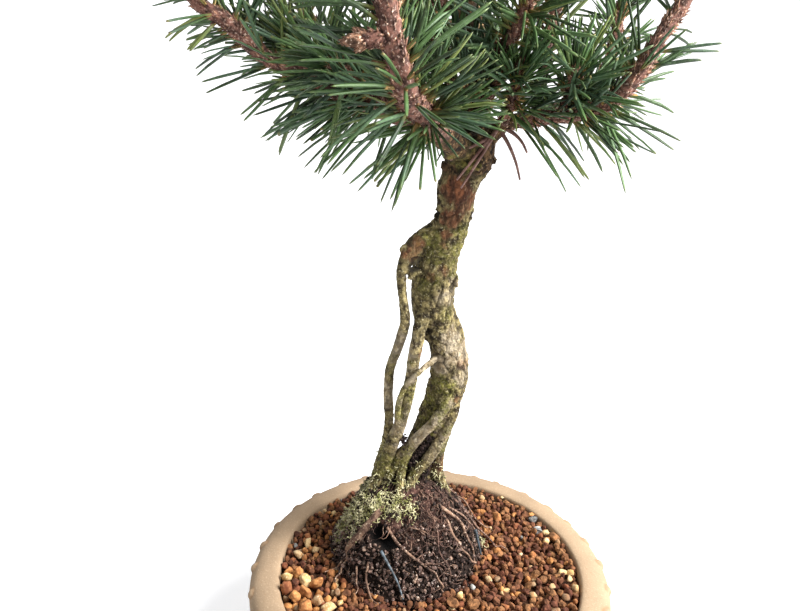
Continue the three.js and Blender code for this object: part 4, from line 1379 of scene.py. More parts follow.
# Lumps that stand out of the wood: x, y, z and radius
KNOBS = [
    (-1.4, 2.5, 214.4, 1.3), (-2.0, 3, 216.2, 0.7), (-1.8, 3, 211.6, 1.8), (11.9, 3.4, 216.0, 1.2),
    (11.7, 3.4, 213.8, 1.1), (14.4, 0, 236.2, 2.2), (16, -0.4, 235, 1.1), (17.2, -0.6, 234.2, 0.6),
    (15.6, -2, 239, 1.5), (14.2, 0.5, 231.6, 0.9), (6, -5.5, 236, 2.6), (1.5, -4.5, 239, 2.4),
    (3.5, 4.5, 158, 1.6), (12.6, 10, 150, 1.2), (-7.2, 3.5, 190, 1.3), (6.6, 2.5, 190.5, 1.6),
    (7, 3, 187.5, 1.2), (-13.4, 0.8, 202, 1.6), (-4.5, 8.8, 119, 1.1), (-10.4, 0.8, 200, 2.4),
    (-9.8, 1.2, 197, 2.1), (-9.0, 2, 193.4, 2.1), (-10.2, 1.2, 190.9, 1.1), (3.2, 12, 139, 1.0),
    (-11.9, 0.6, 196.5, 1.7), (-11.3, 0.8, 193.6, 1.5), (-10.9, 1, 191, 1.1),
    (-8.2, 1, 200.6, 2.3), (-2.2, 12, 131, 0.9), (-5.6, 13, 125, 1.0), (5.6, 12.5, 143.5, 2.6),
    (9.4, 13.6, 137.5, 2.4),
]
# The collar: its flakes, the level of its lower edge, and the trunk's control point at FLARE_LEVEL with the
# millimetres up to the next one
COLLAR_FLAKES = 20
COLLAR_LEVEL = 231.5
FLARE_POINT = 12
FLARE_LEVEL = 231
FLARE_RISE = 4.5


def add_collar(pile, random):
    """Thick flakes whose ragged lower edge overhangs the peeled bark under the crown."""
    flake = Stones(ball_shape(3), 0.3, 41)
    line = LimbLine(TRUNK)
    for i in range(COLLAR_FLAKES):
        angle = i * GOLDEN_ANGLE
        level = COLLAR_LEVEL + random.uniform(-0.4, 4.5)
        centre, radius = line.at(FLARE_POINT + (level - FLARE_LEVEL) / FLARE_RISE)
        out = np.array([math.cos(angle), math.sin(angle), 0])
        middle = centre + out * (radius - 0.1)
        middle[2] = level
        flake.lay(pile, random, [middle], [random.uniform(1.3, 2.1)], 0.35)


def rough_wood(keys):
    """Overlapping tubes and lumps, before they get one skin."""
    pile = Pile()
    for number, key in enumerate(keys):
        run, kind = limb_run(key)
        sides = 26 if kind == 0 else 16
        swell = swell_round(run, sides, 6, 7.0, number + kind * 7)
        run.tube(pile, sides, 1.02 + (0.08 if kind == 0 else 0.12) * swell)
    if "trunk" in keys:
        knob = Stones(ball_shape(3), 0.25, 40)
        random = np.random.default_rng(40)
        for x, y, z, radius in KNOBS:
            knob.lay(pile, random, [(x, y, z)], [radius], 0.2)
        add_collar(pile, random)
    return pile.mesh("rough_wood")


def remeshed(mesh, voxel):
    """One even skin over overlapping limbs, with its joints smoothed."""
    holder = link_object("rough_wood", mesh)
    skin = holder.modifiers.new("skin", "REMESH")
    skin.mode = "VOXEL"
    skin.voxel_size = voxel
    soft = holder.modifiers.new("soft", "SMOOTH")
    soft.factor = 0.5
    soft.iterations = 1
    result = modified(holder)
    bpy.data.objects.remove(holder)
    return result


class LimbMap:
    """For each point of the wood's skin: its nearest limb, and where it lies along and around it.

    APART sets the limbs' places off from each other, so that their patterns differ.
    """

    APART = 40

    def __init__(self, points, keys):
        runs = [limb_run(key) for key in keys]
        stands = [(number, kind) for number, (run, kind) in enumerate(runs) for _ in run.along]
        tree = KDTree(len(stands))
        for i, centre in enumerate(np.concatenate([run.centres for run, _ in runs])):
            tree.insert(centre, i)
        tree.balance()
        nearest = np.array([tree.find(point)[1] for point in points])

        def there(what):
            return np.concatenate([getattr(run, what) for run, _ in runs])[nearest]

        number, self.kind = np.array(stands)[nearest].T
        away = points - there("centres")
        along = there("along") + np.einsum("ij,ij->i", away, there("directions"))
        across = np.einsum("ij,ij->i", away, there("across"))
        beside = np.einsum("ij,ij->i", away, there("beside"))
        self.local = np.stack([across + self.APART * number, beside, along], axis=1)


# Patches on the bark: x, y, z, reach, strength
RUST_SPOTS = [
    (4.6, -5, 224, 7.5, 1.0), (7.5, -4.5, 220, 6, 0.9), (2.6, -3, 214.5, 4.6, 0.9), (1.8, -1, 208, 2.6, 0.8),
    (1.4, 0, 204, 2.0, 0.5), (-9.5, -1, 203.5, 4.4, 0.7), (-12, 0, 200, 3, 0.7), (12.4, 9, 135, 3, 0.8),
    (12, 8, 152, 3, 0.5), (2, 0, 194, 2.5, 0.4), (13, 8, 129, 3, 0.8), (-3, 1, 191, 2.5, 0.5),
    (-6, 3, 160, 3.5, 0.5), (3, 13.5, 100, 6, 0.5),
]
ALGAE_SPOTS = [
    (-2, -1, 202, 8, 0.7), (0.9, 10, 133, 8, 0.9), (-2.9, 14, 121, 6, 0.9), (-5, 0, 188, 6, 0.6),
    (3.6, -6, 240, 7, 0.8), (-12, 3, 140, 8, 0.6), (-20, 11, 104, 9, 0.7), (-12, 11, 104, 7, 0.7),
    (6, 14, 112, 6, 0.7), (9, -1, 209, 5, 0.9), (8, -6, 234, 5, 0.8), (-16, 4, 152, 7, 0.4),
    (4, 2, 176, 4, 0.5), (-10, 10, 112, 5, 0.7), (1, 9, 124, 4, 0.6), (6, 12, 121, 4, 0.7),
    (4, 8, 141, 7, 0.9), (7, 3, 203, 7, 0.8), (-13, 4, 132, 5, 0.7), (6, 2, 195, 5, 0.6),
]
PALE_SPOTS = [
    (2.2, 8, 152, 6.5, 1.0), (9, 8, 157, 8, 1.0), (6, 5, 163, 6, 0.9), (-4, 7, 120.5, 7, 0.9),
    (-15, 5, 160, 10, 0.7), (-19, 10, 138, 9, 0.7), (4, 1.5, 183, 6, 0.5), (4, 11, 112, 5, 0.5),
    (-13, 9, 112, 5, 0.5), (7, 2, 190, 4, 0.5), (12, 8, 146, 5, 0.7), (6, 8.5, 134, 4, 0.6),
    (2, 6.5, 128, 6, 0.9), (-9, 8.5, 113, 5, 0.7), (5, 10.5, 120, 5, 0.7), (-14, 7, 124, 6, 0.6),
    (-12, 6, 133, 6, 0.5), (0, 10, 110, 5, 0.6), (-11, -2, 148, 5, 0.8), (-14.5, 0, 138, 5, 0.7),
    (-4, 1, 154, 4, 0.8),
]
# Partly dark bark and partly painted shade: under the collar, in the gaps behind and between the roots and
# round a few knobs. These spots are also pressed in
DARK_SPOTS = [
    (-0.5, 16, 111, 6, 1.0), (-7, 16, 104, 7, 1.0), (3, 17, 117, 5, 1.0), (-4.6, 2.5, 172, 2.2, 0.9),
    (-3.6, 2.5, 168, 2.2, 1.0), (-3, 3.4, 164, 2.2, 1.0), (-2.8, 4.4, 160.5, 2.0, 0.8),
    (-10, 0.6, 195, 3.2, 1.0), (-11.6, 1.4, 204.6, 3.2, 0.5), (-6.6, 0, 201.5, 2.6, 0.6),
    (11.9, 3, 215, 2.6, 1.0), (-1.8, 1.6, 215.4, 1.8, 1.0),
    (2.5, -6.5, 238, 4, 0.9), (-3.5, 7, 168, 4, 0.7), (-4, 9, 160, 3, 0.9), (-2.5, 10, 153, 3, 0.8),
    (5.5, -7, 230, 3, 0.9), (10, -6, 230.5, 2.6, 0.8), (8, -8, 243, 5, 0.8), (-8.4, 1, 197, 3, 0.9),
    (0, -6, 246, 6, 0.8), (14, 0, 244, 5, 0.7),
]


def patches(points, spots, seed):
    """How strongly a ragged patch covers each point, from 0 to 1."""
    cover = np.zeros(len(points))
    ragged = 0.3 * wander(points, 3.0, seed) + 0.25 * wander(points, 1.3, seed + 1)
    for x, y, z, reach, strength in spots:
        gap = np.linalg.norm(points - np.array([x, y, z]), axis=1) / reach
        cover = np.maximum(cover, strength * smoothstep(1.15, 0.55, gap + ragged))
    return cover


def carve_bark(mesh, keys):
    """Presses flakes, cracks and crumbs into the wood's skin and marks where its colours lie."""
    points = read_points(mesh, "co") / MM
    normals = read_points(mesh, "normal")
    limb = LimbMap(points, keys)
    trunk = limb.kind == 0
    bough = limb.kind == 2
    local = limb.local * np.array([1, 1, 0.62])
    behind = smoothstep(-0.1, 0.4, normals[:, 1])
    pale = patches(points, PALE_SPOTS, 73)
    pale = np.maximum(pale, 0.8 * behind * smoothstep(0.15, 0.5, wander(points, 13.0, 76)))
    algae = patches(points, ALGAE_SPOTS, 72)
    algae = np.maximum(algae, 0.9 * behind * smoothstep(0.0, 0.4, wander(points, 15.0, 75)))
    plate_gap, plate_own = cells(local + 0.5 * wander(points, 3, 52)[:, None], 4.4, 50)
    flake_gap, flake_own = cells(local + 0.6 * wander(points, 1.5, 53)[:, None], 1.7, 60)
    crack = np.exp(-(plate_gap / 0.09) ** 2) * smoothstep(-0.5, 0.2, wander(points, 8.0, 54))
    crack = crack * np.where(trunk, 1.0, 0.3)
    seam = np.exp(-(flake_gap / 0.14) ** 2) * (1 - 0.75 * pale)
    fine = wander(points, 1.1, 55) + 0.7 * wander(points, 0.65, 56)
    depth = np.where(trunk, 1.0, np.where(bough, 0.9, 0.5))
    rust = patches(points, RUST_SPOTS, 71)
    smooth = 1 - 0.85 * np.maximum(pale * 0.8, rust)
    relief = depth * (-0.6 * crack + smooth * (-0.22 * seam + 0.36 * (flake_own - 0.5) + 0.3 * fine))
    relief += depth * 0.3 * (plate_own - 0.5)
    # Partly dark bark and partly painted shade, also pressed into the wood
    dark = patches(points, DARK_SPOTS, 70)
    relief -= 0.5 * dark * trunk
    points = points + normals * relief[:, None]
    mesh.vertices.foreach_set("co", (points * MM).ravel())
    crown = np.where(trunk, smoothstep(229, 231.5, points[:, 2]), np.where(bough, 1.0, 0.0))
    set_marks(mesh, {
        "crack": np.clip((0.6 + 0.4 * pale) * crack + 0.32 * seam, 0, 1),
        "flake": flake_own,
        "rust": rust * (1 - crown),
        "algae": algae,
        "pale": pale,
        "soot": dark,
        "crown": crown,
    })
    mesh.update()


def bark_material(settings):
    material, tree, shader, place = new_material("Pine bark")
    streaked = put(tree, "Mapping", {"Vector": place, "Scale": (1.0, 1.0, 0.28)}).outputs["Vector"]
    base = mottled(tree, place, settings.bark, srgb(50, 40, 24), srgb(202, 192, 156), 400, 1300, 0.6)
    specks = base.outputs["Specks"]
    brown = mottled(tree, place, srgb(98, 74, 50), srgb(36, 27, 18), srgb(160, 132, 92), 380, 800, 0.8)
    grey = mottled(tree, place, srgb(172, 158, 134), srgb(134, 118, 92), srgb(212, 202, 180), 300, 1000, 0.5)
    green = mottled(tree, place, settings.algae, srgb(56, 54, 22), srgb(184, 180, 118), 380, 1300, 0.5)
    red = mottled(tree, streaked, settings.rust, srgb(72, 44, 30), srgb(172, 128, 98), 320, 1200, 0.5)
    film = maths(tree, "MULTIPLY", mark(tree, "algae"), fit(tree, specks, 0.62, 0.42, 0.45, 1.0))
    shade = base.outputs["Color"]
    for cover, layer in ((mark(tree, "crown"), brown), (mark(tree, "pale"), grey), (film, green),
                         (mark(tree, "rust"), red)):
        shade = mix(tree, cover, shade, layer.outputs["Color"])
    value = fit(tree, mark(tree, "flake"), 0, 1, 0.66, 1.25)
    shade = put(tree, "HueSaturation", {"Value": value, "Color": shade}).outputs["Color"]
    # Cracks darken as dark joints; the second mark is partly dark bark and partly painted shade under the
    # collar and between the roots
    for name, strength, tone in (("crack", 0.85, srgb(34, 26, 18)), ("soot", 0.8, srgb(24, 20, 14))):
        shade = mix(tree, maths(tree, "MULTIPLY", mark(tree, name), strength), shade, tone)
    crumbs = put(tree, "TexVoronoi", {"Vector": place, "Scale": 850.0, "Randomness": 1.0})
    lumps = maths(tree, "MULTIPLY", fit(tree, crumbs.outputs["Distance"], 0.6, 0.1), 0.9)
    height = maths(tree, "ADD", grit_height(tree, place, 1100, 0.7), lumps)
    finish_shader(tree, shader, shade, fit(tree, specks, 0.3, 0.7, 0.8, 0.95), 0.25)
    bump(tree, shader, height, 0.8, 0.4)
    return material


class BONSAI_OT_wood(bpy.types.Operator):
    """Grow the trunk, its aerial roots and the bare boughs, and carve their bark"""

    bl_idname = "bonsai.wood"
    bl_label = "Trunk, roots and boughs"

    def execute(self, context):
        settings = context.scene.bonsai.bark
        bark = bark_material(settings)
        for number, (keys, coarseness) in enumerate(wood_groups()):
            mesh = remeshed(rough_wood(keys), settings.voxel * coarseness)
            carve_bark(mesh, keys)
            for polygon in mesh.polygons:
                polygon.use_smooth = True
            nodes = ["trunk_roots_and_branches"] if number == 0 else []
            add_piece(f"wood_{number + 1}", mesh, bark, "bark", *nodes)
        return {"FINISHED"}


# Shoots and needles


def leafy_runs(name):
    """The stands of a bough where it has needles, with those of its side shoots."""
    needles_from, _, path = BOUGHS[name]
    line = LimbLine(path)
    runs = [Run(line, needles_from - 0.15, line.spans, 1.0)]
    for twig in TWIGS.get(name, []):
        runs.append(Run(LimbLine(twig), 0, len(twig) - 1, 1.0))
    return runs


def spray_nodes(name):
    return [f"spray_{name}_{i + 1}" for i in range(BOUGHS[name][1])]


SCALE_FACES = [(0, 2, 3), (2, 1, 3), (1, 4, 3), (4, 0, 3), (0, 1, 2), (1, 0, 4)]
SCALE_SPACING = 0.155
SHOOT_SIDES = 12
# A bud: its outline as shares of its reach and radius, and its scales
BUD_SHARES = np.array([0.0, 0.2, 0.45, 0.7, 0.88, 1.0])
BUD_WIDTHS = np.array([0.75, 1.0, 0.95, 0.65, 0.35, 0.12])
BUD_SCALES = 26


def shoot_mesh(name, seed):
    """The scaly shoots of a bough with their buds."""
    random = np.random.default_rng(seed)
    pile = Pile()
    for number, run in enumerate(leafy_runs(name)):
        add_shoot(pile, run, random, seed + number, plain=number == 0)
    return pile.mesh(f"shoot_{name}")


def add_shoot(pile, run, random, seed, plain):
    """A stem wrapped in dry scales, with a large bud and small ones at its tip."""
    run.tube(pile, SHOOT_SIDES, 1.05 + 0.14 * swell_round(run, SHOOT_SIDES, 3, 2.2, seed), tint=0.25)
    spots = int(run.length / SCALE_SPACING)
    for i in range(spots):
        place = (i + 0.5) / spots * run.length
        centre, radius, direction, across, beside = run.stand(place)
        angle = i * GOLDEN_ANGLE + random.normal() * 0.3
        out = across * math.cos(angle) + beside * math.sin(angle)
        side = np.cross(direction, out)
        wide = random.uniform(0.25, 0.75)
        long = random.uniform(0.9, 3.2)
        lift = random.uniform(-0.2, 1.5)
        aslant = random.normal() * 0.8
        root = centre + out * radius * 0.9
        shape = [root - side * wide, root + side * wide, root + out * 0.45 + direction * 0.1,
                 root + direction * long + out * (0.2 + lift) + side * aslant,
                 root + direction * long * 0.6 - out * 0.1 + side * aslant * 0.5]
        pile.add(shape, tris=SCALE_FACES, tint=random.beta(0.65, 0.6))
    tip, _, direction, across, beside = run.stand(run.length)
    large = 8.5 if plain else 6.0
    add_bud(pile, random, tip - direction * 1.0, direction, large, 1.9)
    for i in range(3):
        angle = i * 2.1 + random.uniform(0, 1)
        out = across * math.cos(angle) + beside * math.sin(angle)
        add_bud(pile, random, tip - direction * 1.5 + out * 0.8, unit(direction * 1.6 + out), large / 2, 1.2)


def add_bud(pile, random, root, direction, reach, radius):
    """A pointed bud wrapped in small scales."""
    line = LimbLine([(*(root + direction * reach * share), radius * width)
                     for share, width in zip(BUD_SHARES, BUD_WIDTHS)])
    Run(line, 0, line.spans, reach / 9).tube(pile, 9, tint=0.9)
    side = unit(np.cross(direction, np.array([0.3, 0.5, 0.8])))
    other = np.cross(direction, side)
    for i in range(BUD_SCALES):
        share = i / BUD_SCALES
        angle = i * GOLDEN_ANGLE
        out = side * math.cos(angle) + other * math.sin(angle)
        width = float(np.interp(share, BUD_SHARES, BUD_WIDTHS)) * radius
        foot = root + direction * reach * share * 0.92 + out * width * 0.9
        along = np.cross(direction, out)
        shape = [foot - along * 0.4, foot + along * 0.4, foot + out * 0.25,
                 foot + direction * 1.5 + out * 0.12, foot + direction * 0.7 - out * 0.2]
        pile.add(shape, tris=SCALE_FACES, tint=random.uniform(0.6, 1))


# Along a needle: shares of its length, and how wide a pointed and a clipped one are there
NEEDLE_SHARES = np.array([0.0, 0.3, 0.72, 0.94])
NEEDLE_WIDTHS = np.array([0.85, 1.0, 0.92, 0.6])
CLIPPED_WIDTHS = np.array([0.85, 1.0, 0.98, 0.88])
# Across a needle: its flat inner face and its rounded outer face, in half widths
NEEDLE_SECTION = np.array([(-1, 0), (-0.55, 0.85), (0.55, 0.85), (1, 0)])
NEEDLE_FACES = ring_faces(len(NEEDLE_SHARES), len(NEEDLE_SECTION))
# How much shorter the outermost needles are, and the shares of needles that are missing on a bare near side,
# over the collar and in the gaps between tufts
OUTER_TRIM = 0.35
BARE_SHARE = 0.88
COLLAR_SHARE = 0.85
GAP_SHARE = 0.75
# The gaps between tufts: their size, seed and how far they close
GAP_SIZE = 5.5
GAP_SEED = 99
GAP_LIMIT = 0.16


def add_needle(pile, root, direction, face, reach, width, sag, bend, tint, clipped):
    """One half-round needle. face points to the round side, sag bends it down and bend bows it."""
    centres = (root + direction * (reach * NEEDLE_SHARES)[:, None]
               + bend * (reach * 4 * NEEDLE_SHARES * (1 - NEEDLE_SHARES))[:, None]
               + np.array([0, 0, -1]) * (sag * reach * NEEDLE_SHARES ** 2)[:, None])
    side = unit(np.cross(face, direction))
    half = width / 2 * (CLIPPED_WIDTHS if clipped else NEEDLE_WIDTHS)
    rings = (centres[:, None, :]
             + side * (NEEDLE_SECTION[:, 0] * half[:, None])[..., None]
             + face * (NEEDLE_SECTION[:, 1] * half[:, None])[..., None])
    tip = root + direction * reach + np.array([0, 0, -sag * reach])
    tip = centres[-1] + (tip - centres[-1]) * (0.25 if clipped else 1)
    points = np.vstack([rings.reshape(-1, 3), centres[0], tip])
    along = np.concatenate([np.repeat(NEEDLE_SHARES, len(NEEDLE_SECTION)), [0, 1]])
    pile.add(points, *NEEDLE_FACES, tint=tint, along=along, clipped=float(clipped))


def add_sheath(pile, root, direction, random):
    """The papery sleeve round a pair's foot."""
    reach = random.uniform(3.2, 5.6)
    side = unit(np.cross(direction, np.array([0.31, 0.52, 0.79])))
    other = np.cross(direction, side)
    rings = []
    for share, width in ((0.0, 0.62), (0.9, 0.66)):
        for corner in range(4):
            angle = corner * math.pi / 2
            rings.append(root + direction * reach * share
                         + (side * math.cos(angle) + other * math.sin(angle)) * width)
    points = np.vstack([rings, root, root + direction * reach])
    pile.add(points, *ring_faces(2, 4), tint=random.uniform())


def crowd(run, way, whorls):
    """How thickly needles stand at a way along a shoot: more at its tip and its whorls."""
    crowded = math.exp(-((run.length - way) / 13) ** 2)
    for whorl in whorls:
        crowded = max(crowded, math.exp(-((way - whorl) / 6.5) ** 2))
    return 0.45 + 1.25 * crowded


def needle_meshes(name, seed, settings):
    """All the pairs of one bough and its side shoots, and their sheaths."""
    random = np.random.default_rng(seed)
    needles = Pile()
    sheaths = Pile()
    main, *twigs = leafy_runs(name)
    openness = OPENNESS.get(name, 1)
    whorls = [float(np.interp(place, main.places, main.along)) for place in WHORLS.get(name, [])]
    bare = math.inf
    if name in BARE_FROM:
        bare = float(np.interp(BARE_FROM[name], main.places, main.along))
    add_foliage(needles, sheaths, main, random, settings, openness, 1.0, whorls, bare)
    if name not in LEAFLESS_TWIGS:
        for twig in twigs:
            add_foliage(needles, sheaths, twig, random, settings, openness, twig.length * 0.3)
    return needles.mesh(f"needles_{name}"), sheaths.mesh(f"sheaths_{name}")


def over_collar(root, course):
    """True for a needle that would hang in front of the trunk's collar."""
    inward = 0.05 if root[1] < -36 else -0.35
    return -16 < root[0] < 14 and root[1] < -3 and course[2] < -0.2 and course[0] > inward


def add_foliage(needles, sheaths, run, random, settings, openness, way, whorls=(), bare=math.inf):
    """Pairs from a way along a shoot up to its tip. Past bare, its near side has few of them."""
    spacing = settings.spacing / MM * openness
    turn = 0.0
    while way < run.length:
        centre, radius, direction, across, beside = run.stand(way)
        from_tip = run.length - way
        turn += GOLDEN_ANGLE + random.normal() * 0.15
        out = across * math.cos(turn) + beside * math.sin(turn)
        steep = 24 + 34 * float(smoothstep(0, 12, from_tip)) + random.normal() * 14
        lean = math.radians(min(max(steep, 8), 100))
        course = unit(direction * math.cos(lean) + out * math.sin(lean))
        root = centre + out * radius * 0.55
        way += spacing / crowd(run, way, whorls)
        if way > bare and course[1] < -0.2 and random.uniform() < BARE_SHARE:
            continue
        if over_collar(root, course) and random.uniform() < COLLAR_SHARE:
            continue
        gap = wander((root + course * 7)[None], GAP_SIZE, GAP_SEED)[0]
        if gap > GAP_LIMIT and random.uniform() < GAP_SHARE:
            continue
        reach = settings.reach / MM * random.triangular(0.62, 1.02, 1.2)
        reach *= 1 - 0.25 * math.exp(-from_tip / 4)
        outermost = smoothstep(50, 72, abs(root[0])) * smoothstep(0.35, 0.95, course[0] * np.sign(root[0]))
        add_pair(needles, sheaths, random, root, course, reach * (1 - OUTER_TRIM * float(outermost)),
                 settings.width / MM)


def add_pair(needles, sheaths, random, root, course, reach, width):
    """Two needles, flat faces together, from one sheath."""
    facing = unit(np.cross(course, random.normal(size=3)))
    apart = math.radians(random.uniform(2.5, 8))
    sag = random.uniform(0.0, 0.07) + 0.3 * max(random.uniform(-3, 1), 0)
    bend = unit(np.cross(course, random.normal(size=3))) * random.uniform(0, 0.02)
    tint = random.uniform()
    clipped = random.uniform() < 0.1
    foot = root + course * 1.6
    add_sheath(sheaths, root, course, random)
    for hand in (-1, 1):
        own = unit(course * math.cos(apart) + facing * hand * math.sin(apart))
        add_needle(needles, foot + facing * hand * 0.04, own, unit(facing * hand),
                   reach * random.uniform(0.95, 1), width, sag, bend, tint, clipped)


def needle_material(settings):
    material, tree, shader, place = new_material("Pine needles")
    along = mark(tree, "along")
    tint = mark(tree, "tint")
    green = settings.green
    shade = mix(tree, fit(tree, tint, 0, 0.75), shaded(green, 0.36), shaded(green, 1.35))
    shade = mix(tree, fit(tree, tint, 0.8, 1.0, 0.0, 0.8), shade, srgb(124, 132, 70))
    blue = put(tree, "TexNoise", {"Vector": place, "Scale": 45.0, "Detail": 2.0}).outputs["Fac"]
    shade = mix(tree, fit(tree, blue, 0.48, 0.64, 0.0, 0.5), shade, srgb(80, 104, 88))
    fine = put(tree, "TexNoise", {"Vector": place, "Scale": 900.0, "Detail": 2.0}).outputs["Fac"]
    # Painted highlight: fine noise lightens the needles towards a pale blue-green
    shade = mix(tree, fit(tree, fine, 0.5, 0.75, 0.0, 0.4), shade, srgb(112, 142, 96))
    shade = mix(tree, fit(tree, along, 0.22, 0.0, 0.0, 0.6), shade, srgb(150, 148, 84))
    shade = mix(tree, fit(tree, along, 0.86, 1.0, 0.0, 0.45), shade, srgb(112, 118, 62))
    cut = maths(tree, "MULTIPLY", mark(tree, "clipped"), fit(tree, along, 0.9, 0.97))
    shade = mix(tree, cut, shade, srgb(124, 114, 66))
    finish_shader(tree, shader, shade, fit(tree, fine, 0.3, 0.7, 0.36, 0.52), 0.36)
    bump(tree, shader, fine, 0.25, 0.05)
    return material


# Old needles that hang from the trunk's top: where a pair joins, and its two tips
DEAD_NEEDLES = [
    ((17.9, -6, 246.4), (6, -9, 226.3), (4.4, -8.6, 229)), ((16.4, -6, 243.8), (1.7, -10, 236)),
    ((19.4, -1.6, 246), (27, -6, 229.1)), ((21.4, -1.6, 246.4), (28.8, -6, 238.5)),
]


def dead_mesh():
    pile = Pile()
    for joint, *tips in DEAD_NEEDLES:
        joint = np.array(joint, float)
        for tip in tips:
            tip = np.array(tip, float)
            bow = np.array([0.5, -0.8, 0.9])
            strand(pile, [joint, joint + (tip - joint) * 0.35 + bow, joint + (tip - joint) * 0.7 + bow, tip],
                   0.8, sides=6, step=1.5, tint=0.5)
    return pile.mesh("needles_dead")


def dead_material():
    return dry_material("Dead needles", srgb(140, 108, 98), srgb(96, 66, 58), srgb(182, 154, 138),
                        260, 1100, 0.6, 0.55, 0.05, 0.3)


class BONSAI_OT_shoots(bpy.types.Operator):
    """Grow the scaly shoots and their buds"""

    bl_idname = "bonsai.shoots"
    bl_label = "Shoots and buds"

    def execute(self, context):
        settings = context.scene.bonsai.needles
        shoot = settings.shoot
        finish = dry_material("Scaly shoots", shoot, shaded(shoot, 0.22), srgb(226, 198, 178),
                              420, 1500, 0.9, 0.85, 0.12, 0.5)
        for number, name in enumerate(BOUGHS):
            add_piece(f"shoot_{name}", shoot_mesh(name, 300 + number), finish, "bark")
        return {"FINISHED"}


class BONSAI_OT_needles(bpy.types.Operator):
    """Set the needles in pairs along every shoot"""

    bl_idname = "bonsai.needles"
    bl_label = "Needles"

    def execute(self, context):
        settings = context.scene.bonsai.needles
        green = needle_material(settings)
        papery = dry_material("Needle sheaths", srgb(166, 130, 82), srgb(100, 74, 46),
                              srgb(214, 190, 146), 500, 1600, 0.5, 0.8, 0.06, 0.3)
        add_piece("needles_dead", dead_mesh(), dead_material(), "needles")
        for number, name in enumerate(BOUGHS):
            needles, sheaths = needle_meshes(name, 500 + number, settings)
            add_piece(f"needles_{name}", needles, green, "needles", *spray_nodes(name))
            add_piece(f"sheaths_{name}", sheaths, papery, "needles")
        return {"FINISHED"}


# Stage

CAMERA_PLACE = (-14.67, -242.47, 258.07)
CAMERA_PITCH = math.radians(17.91)
CAMERA_ROLL = math.radians(1.0)
FOCAL_PIXELS = 661.0
PICTURE_WIDTH = 800
SENSOR_WIDTH = 36.0
# How bright the studio's walls are as a light
WALL_STRENGTH = 0.38
# The sweep: its near edge, its far wall, the radius of the bend between them, its half width and height
SWEEP_NEAR = -1500
SWEEP_FAR = 1100
SWEEP_BEND = 500
SWEEP_HALF = 2000
SWEEP_TOP = 1800


def camera_matrix():
    forward = Vector((0, math.cos(CAMERA_PITCH), -math.sin(CAMERA_PITCH)))
    level = Vector((1, 0, 0))
    upright = level.cross(forward)
    right = level * math.cos(CAMERA_ROLL) + upright * math.sin(CAMERA_ROLL)
    up = upright * math.cos(CAMERA_ROLL) - level * math.sin(CAMERA_ROLL)
    turn = Matrix((right, up, -forward)).transposed().to_4x4()
    return Matrix.Translation(Vector(CAMERA_PLACE) * MM) @ turn


def add_light(name, place, target, size, power, tone):
    data = bpy.data.lights.new(name, "AREA")
    data.shape = "RECTANGLE"
    data.size, data.size_y = size
    data.energy = power
    data.color = tone
    light = link_object(name, data)
    light.location = Vector(place) * MM
    way = (Vector(target) - Vector(place)).normalized()
    light.rotation_euler = way.to_track_quat("-Z", "Y").to_euler()


def sweep_mesh():
    """The floor, with its far side curving up into a wall."""
    line = [(SWEEP_NEAR, 0)]
    for i in range(25):
        angle = i / 24 * math.pi / 2
        line.append((SWEEP_FAR - SWEEP_BEND + SWEEP_BEND * math.sin(angle),
                     SWEEP_BEND - SWEEP_BEND * math.cos(angle)))
    line.append((SWEEP_FAR, SWEEP_TOP))
    points = []
    for y, z in line:
        points += [(-SWEEP_HALF, y, z), (SWEEP_HALF, y, z)]
    quads = [(2 * i, 2 * i + 1, 2 * i + 3, 2 * i + 2) for i in range(len(line) - 1)]
    return make_mesh("floor_sweep", points, quads)


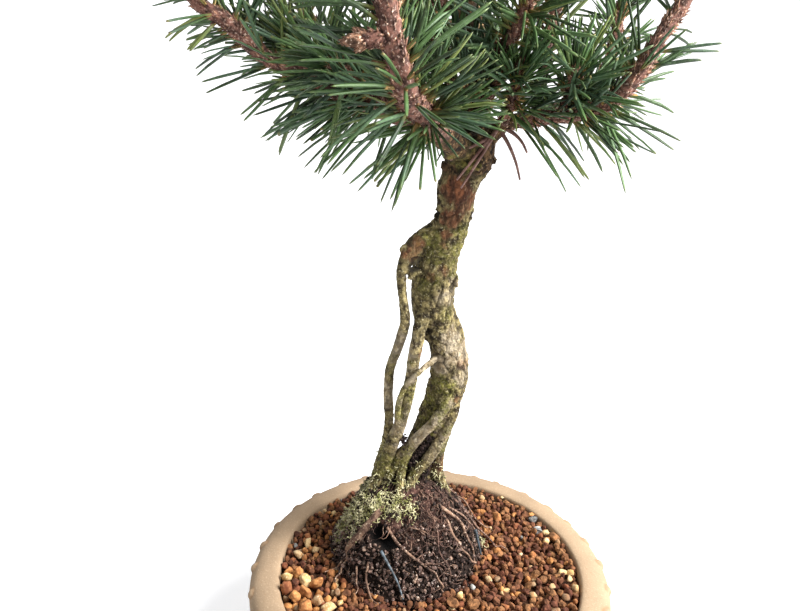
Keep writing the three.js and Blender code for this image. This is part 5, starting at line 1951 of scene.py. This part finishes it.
class BONSAI_OT_stage(bpy.types.Operator):
    """Lay the pale floor and set the lights and the camera"""

    bl_idname = "bonsai.stage"
    bl_label = "Floor, lights and camera"

    def execute(self, context):
        settings = context.scene.bonsai.stage
        scene = context.scene
        material, tree, shader, place = new_material("Pale floor")
        tone = mottled(tree, place, settings.floor, shaded(settings.floor, 0.985), settings.floor,
                       2, 60, 0.2)
        finish_shader(tree, shader, tone.outputs["Color"], 0.9, 0.1)
        seen = put(tree, "LightPath").outputs["Is Camera Ray"]
        tree.links.new(mix(tree, seen, (0, 0, 0), settings.floor), shader.inputs["Emission Color"])
        shader.inputs["Emission Strength"].default_value = 0.5
        sweep = link_object("floor_sweep", sweep_mesh())
        sweep.data.materials.append(material)
        middle = (0, 0, 170)
        add_light("key_softbox", (560, -160, 620), middle, (0.45, 0.45), settings.key, (1.0, 0.99, 0.98))
        add_light("left_softbox", (-520, -420, 480), middle, (0.7, 0.7), settings.fill, (0.94, 0.97, 1.0))
        world = bpy.data.worlds.new("studio")
        world.use_nodes = True
        tree = world.node_tree
        background = tree.nodes["Background"]
        background.inputs["Color"].default_value = (0.96, 0.98, 1, 1)
        seen = put(tree, "LightPath").outputs["Is Camera Ray"]
        tree.links.new(fit(tree, seen, 0, 1, WALL_STRENGTH, 1.0), background.inputs["Strength"])
        scene.world = world
        scene.view_settings.view_transform = "Standard"
        data = bpy.data.cameras.new("camera")
        data.sensor_width = SENSOR_WIDTH
        data.lens = FOCAL_PIXELS / PICTURE_WIDTH * SENSOR_WIDTH
        data.clip_start = 0.01
        camera = link_object("camera", data)
        camera.matrix_world = camera_matrix()
        scene.camera = camera
        return {"FINISHED"}


class BONSAI_PT_panel(bpy.types.Panel):
    bl_idname = "BONSAI_PT_panel"
    bl_label = "Black pine bonsai"
    bl_space_type = "VIEW_3D"
    bl_region_type = "UI"
    bl_category = "Bonsai"

    def draw(self, context):
        settings = context.scene.bonsai
        for operator, group in STEPS:
            box = self.layout.box()
            box.operator(operator.bl_idname)
            if group:
                values = getattr(settings, group)
                for key in values.bl_rna.properties.keys():
                    if key not in ("rna_type", "name"):
                        box.prop(values, key)


STEPS = [
    (BONSAI_OT_stage, "stage"), (BONSAI_OT_pot, "pot"), (BONSAI_OT_screens, None), (BONSAI_OT_soil, "soil"),
    (BONSAI_OT_root_ball, "ball"), (BONSAI_OT_wood, "bark"), (BONSAI_OT_shoots, None),
    (BONSAI_OT_needles, "needles"),
]
CLASSES = [
    PotSettings, SoilSettings, BallSettings, BarkSettings, NeedleSettings, StageSettings, BonsaiSettings,
    *(operator for operator, _ in STEPS), BONSAI_PT_panel,
]


def register():
    for item in CLASSES:
        bpy.utils.register_class(item)
    bpy.types.Scene.bonsai = PointerProperty(type=BonsaiSettings)


def unregister():
    del bpy.types.Scene.bonsai
    for item in reversed(CLASSES):
        bpy.utils.unregister_class(item)


def corners(box):
    return [list(corner) for corner in box]


def main():
    register()
    for operator, _ in STEPS:
        space, name = operator.bl_idname.split(".")
        getattr(getattr(bpy.ops, space), name)()
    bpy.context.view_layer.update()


if __name__ == "__main__":
    main()
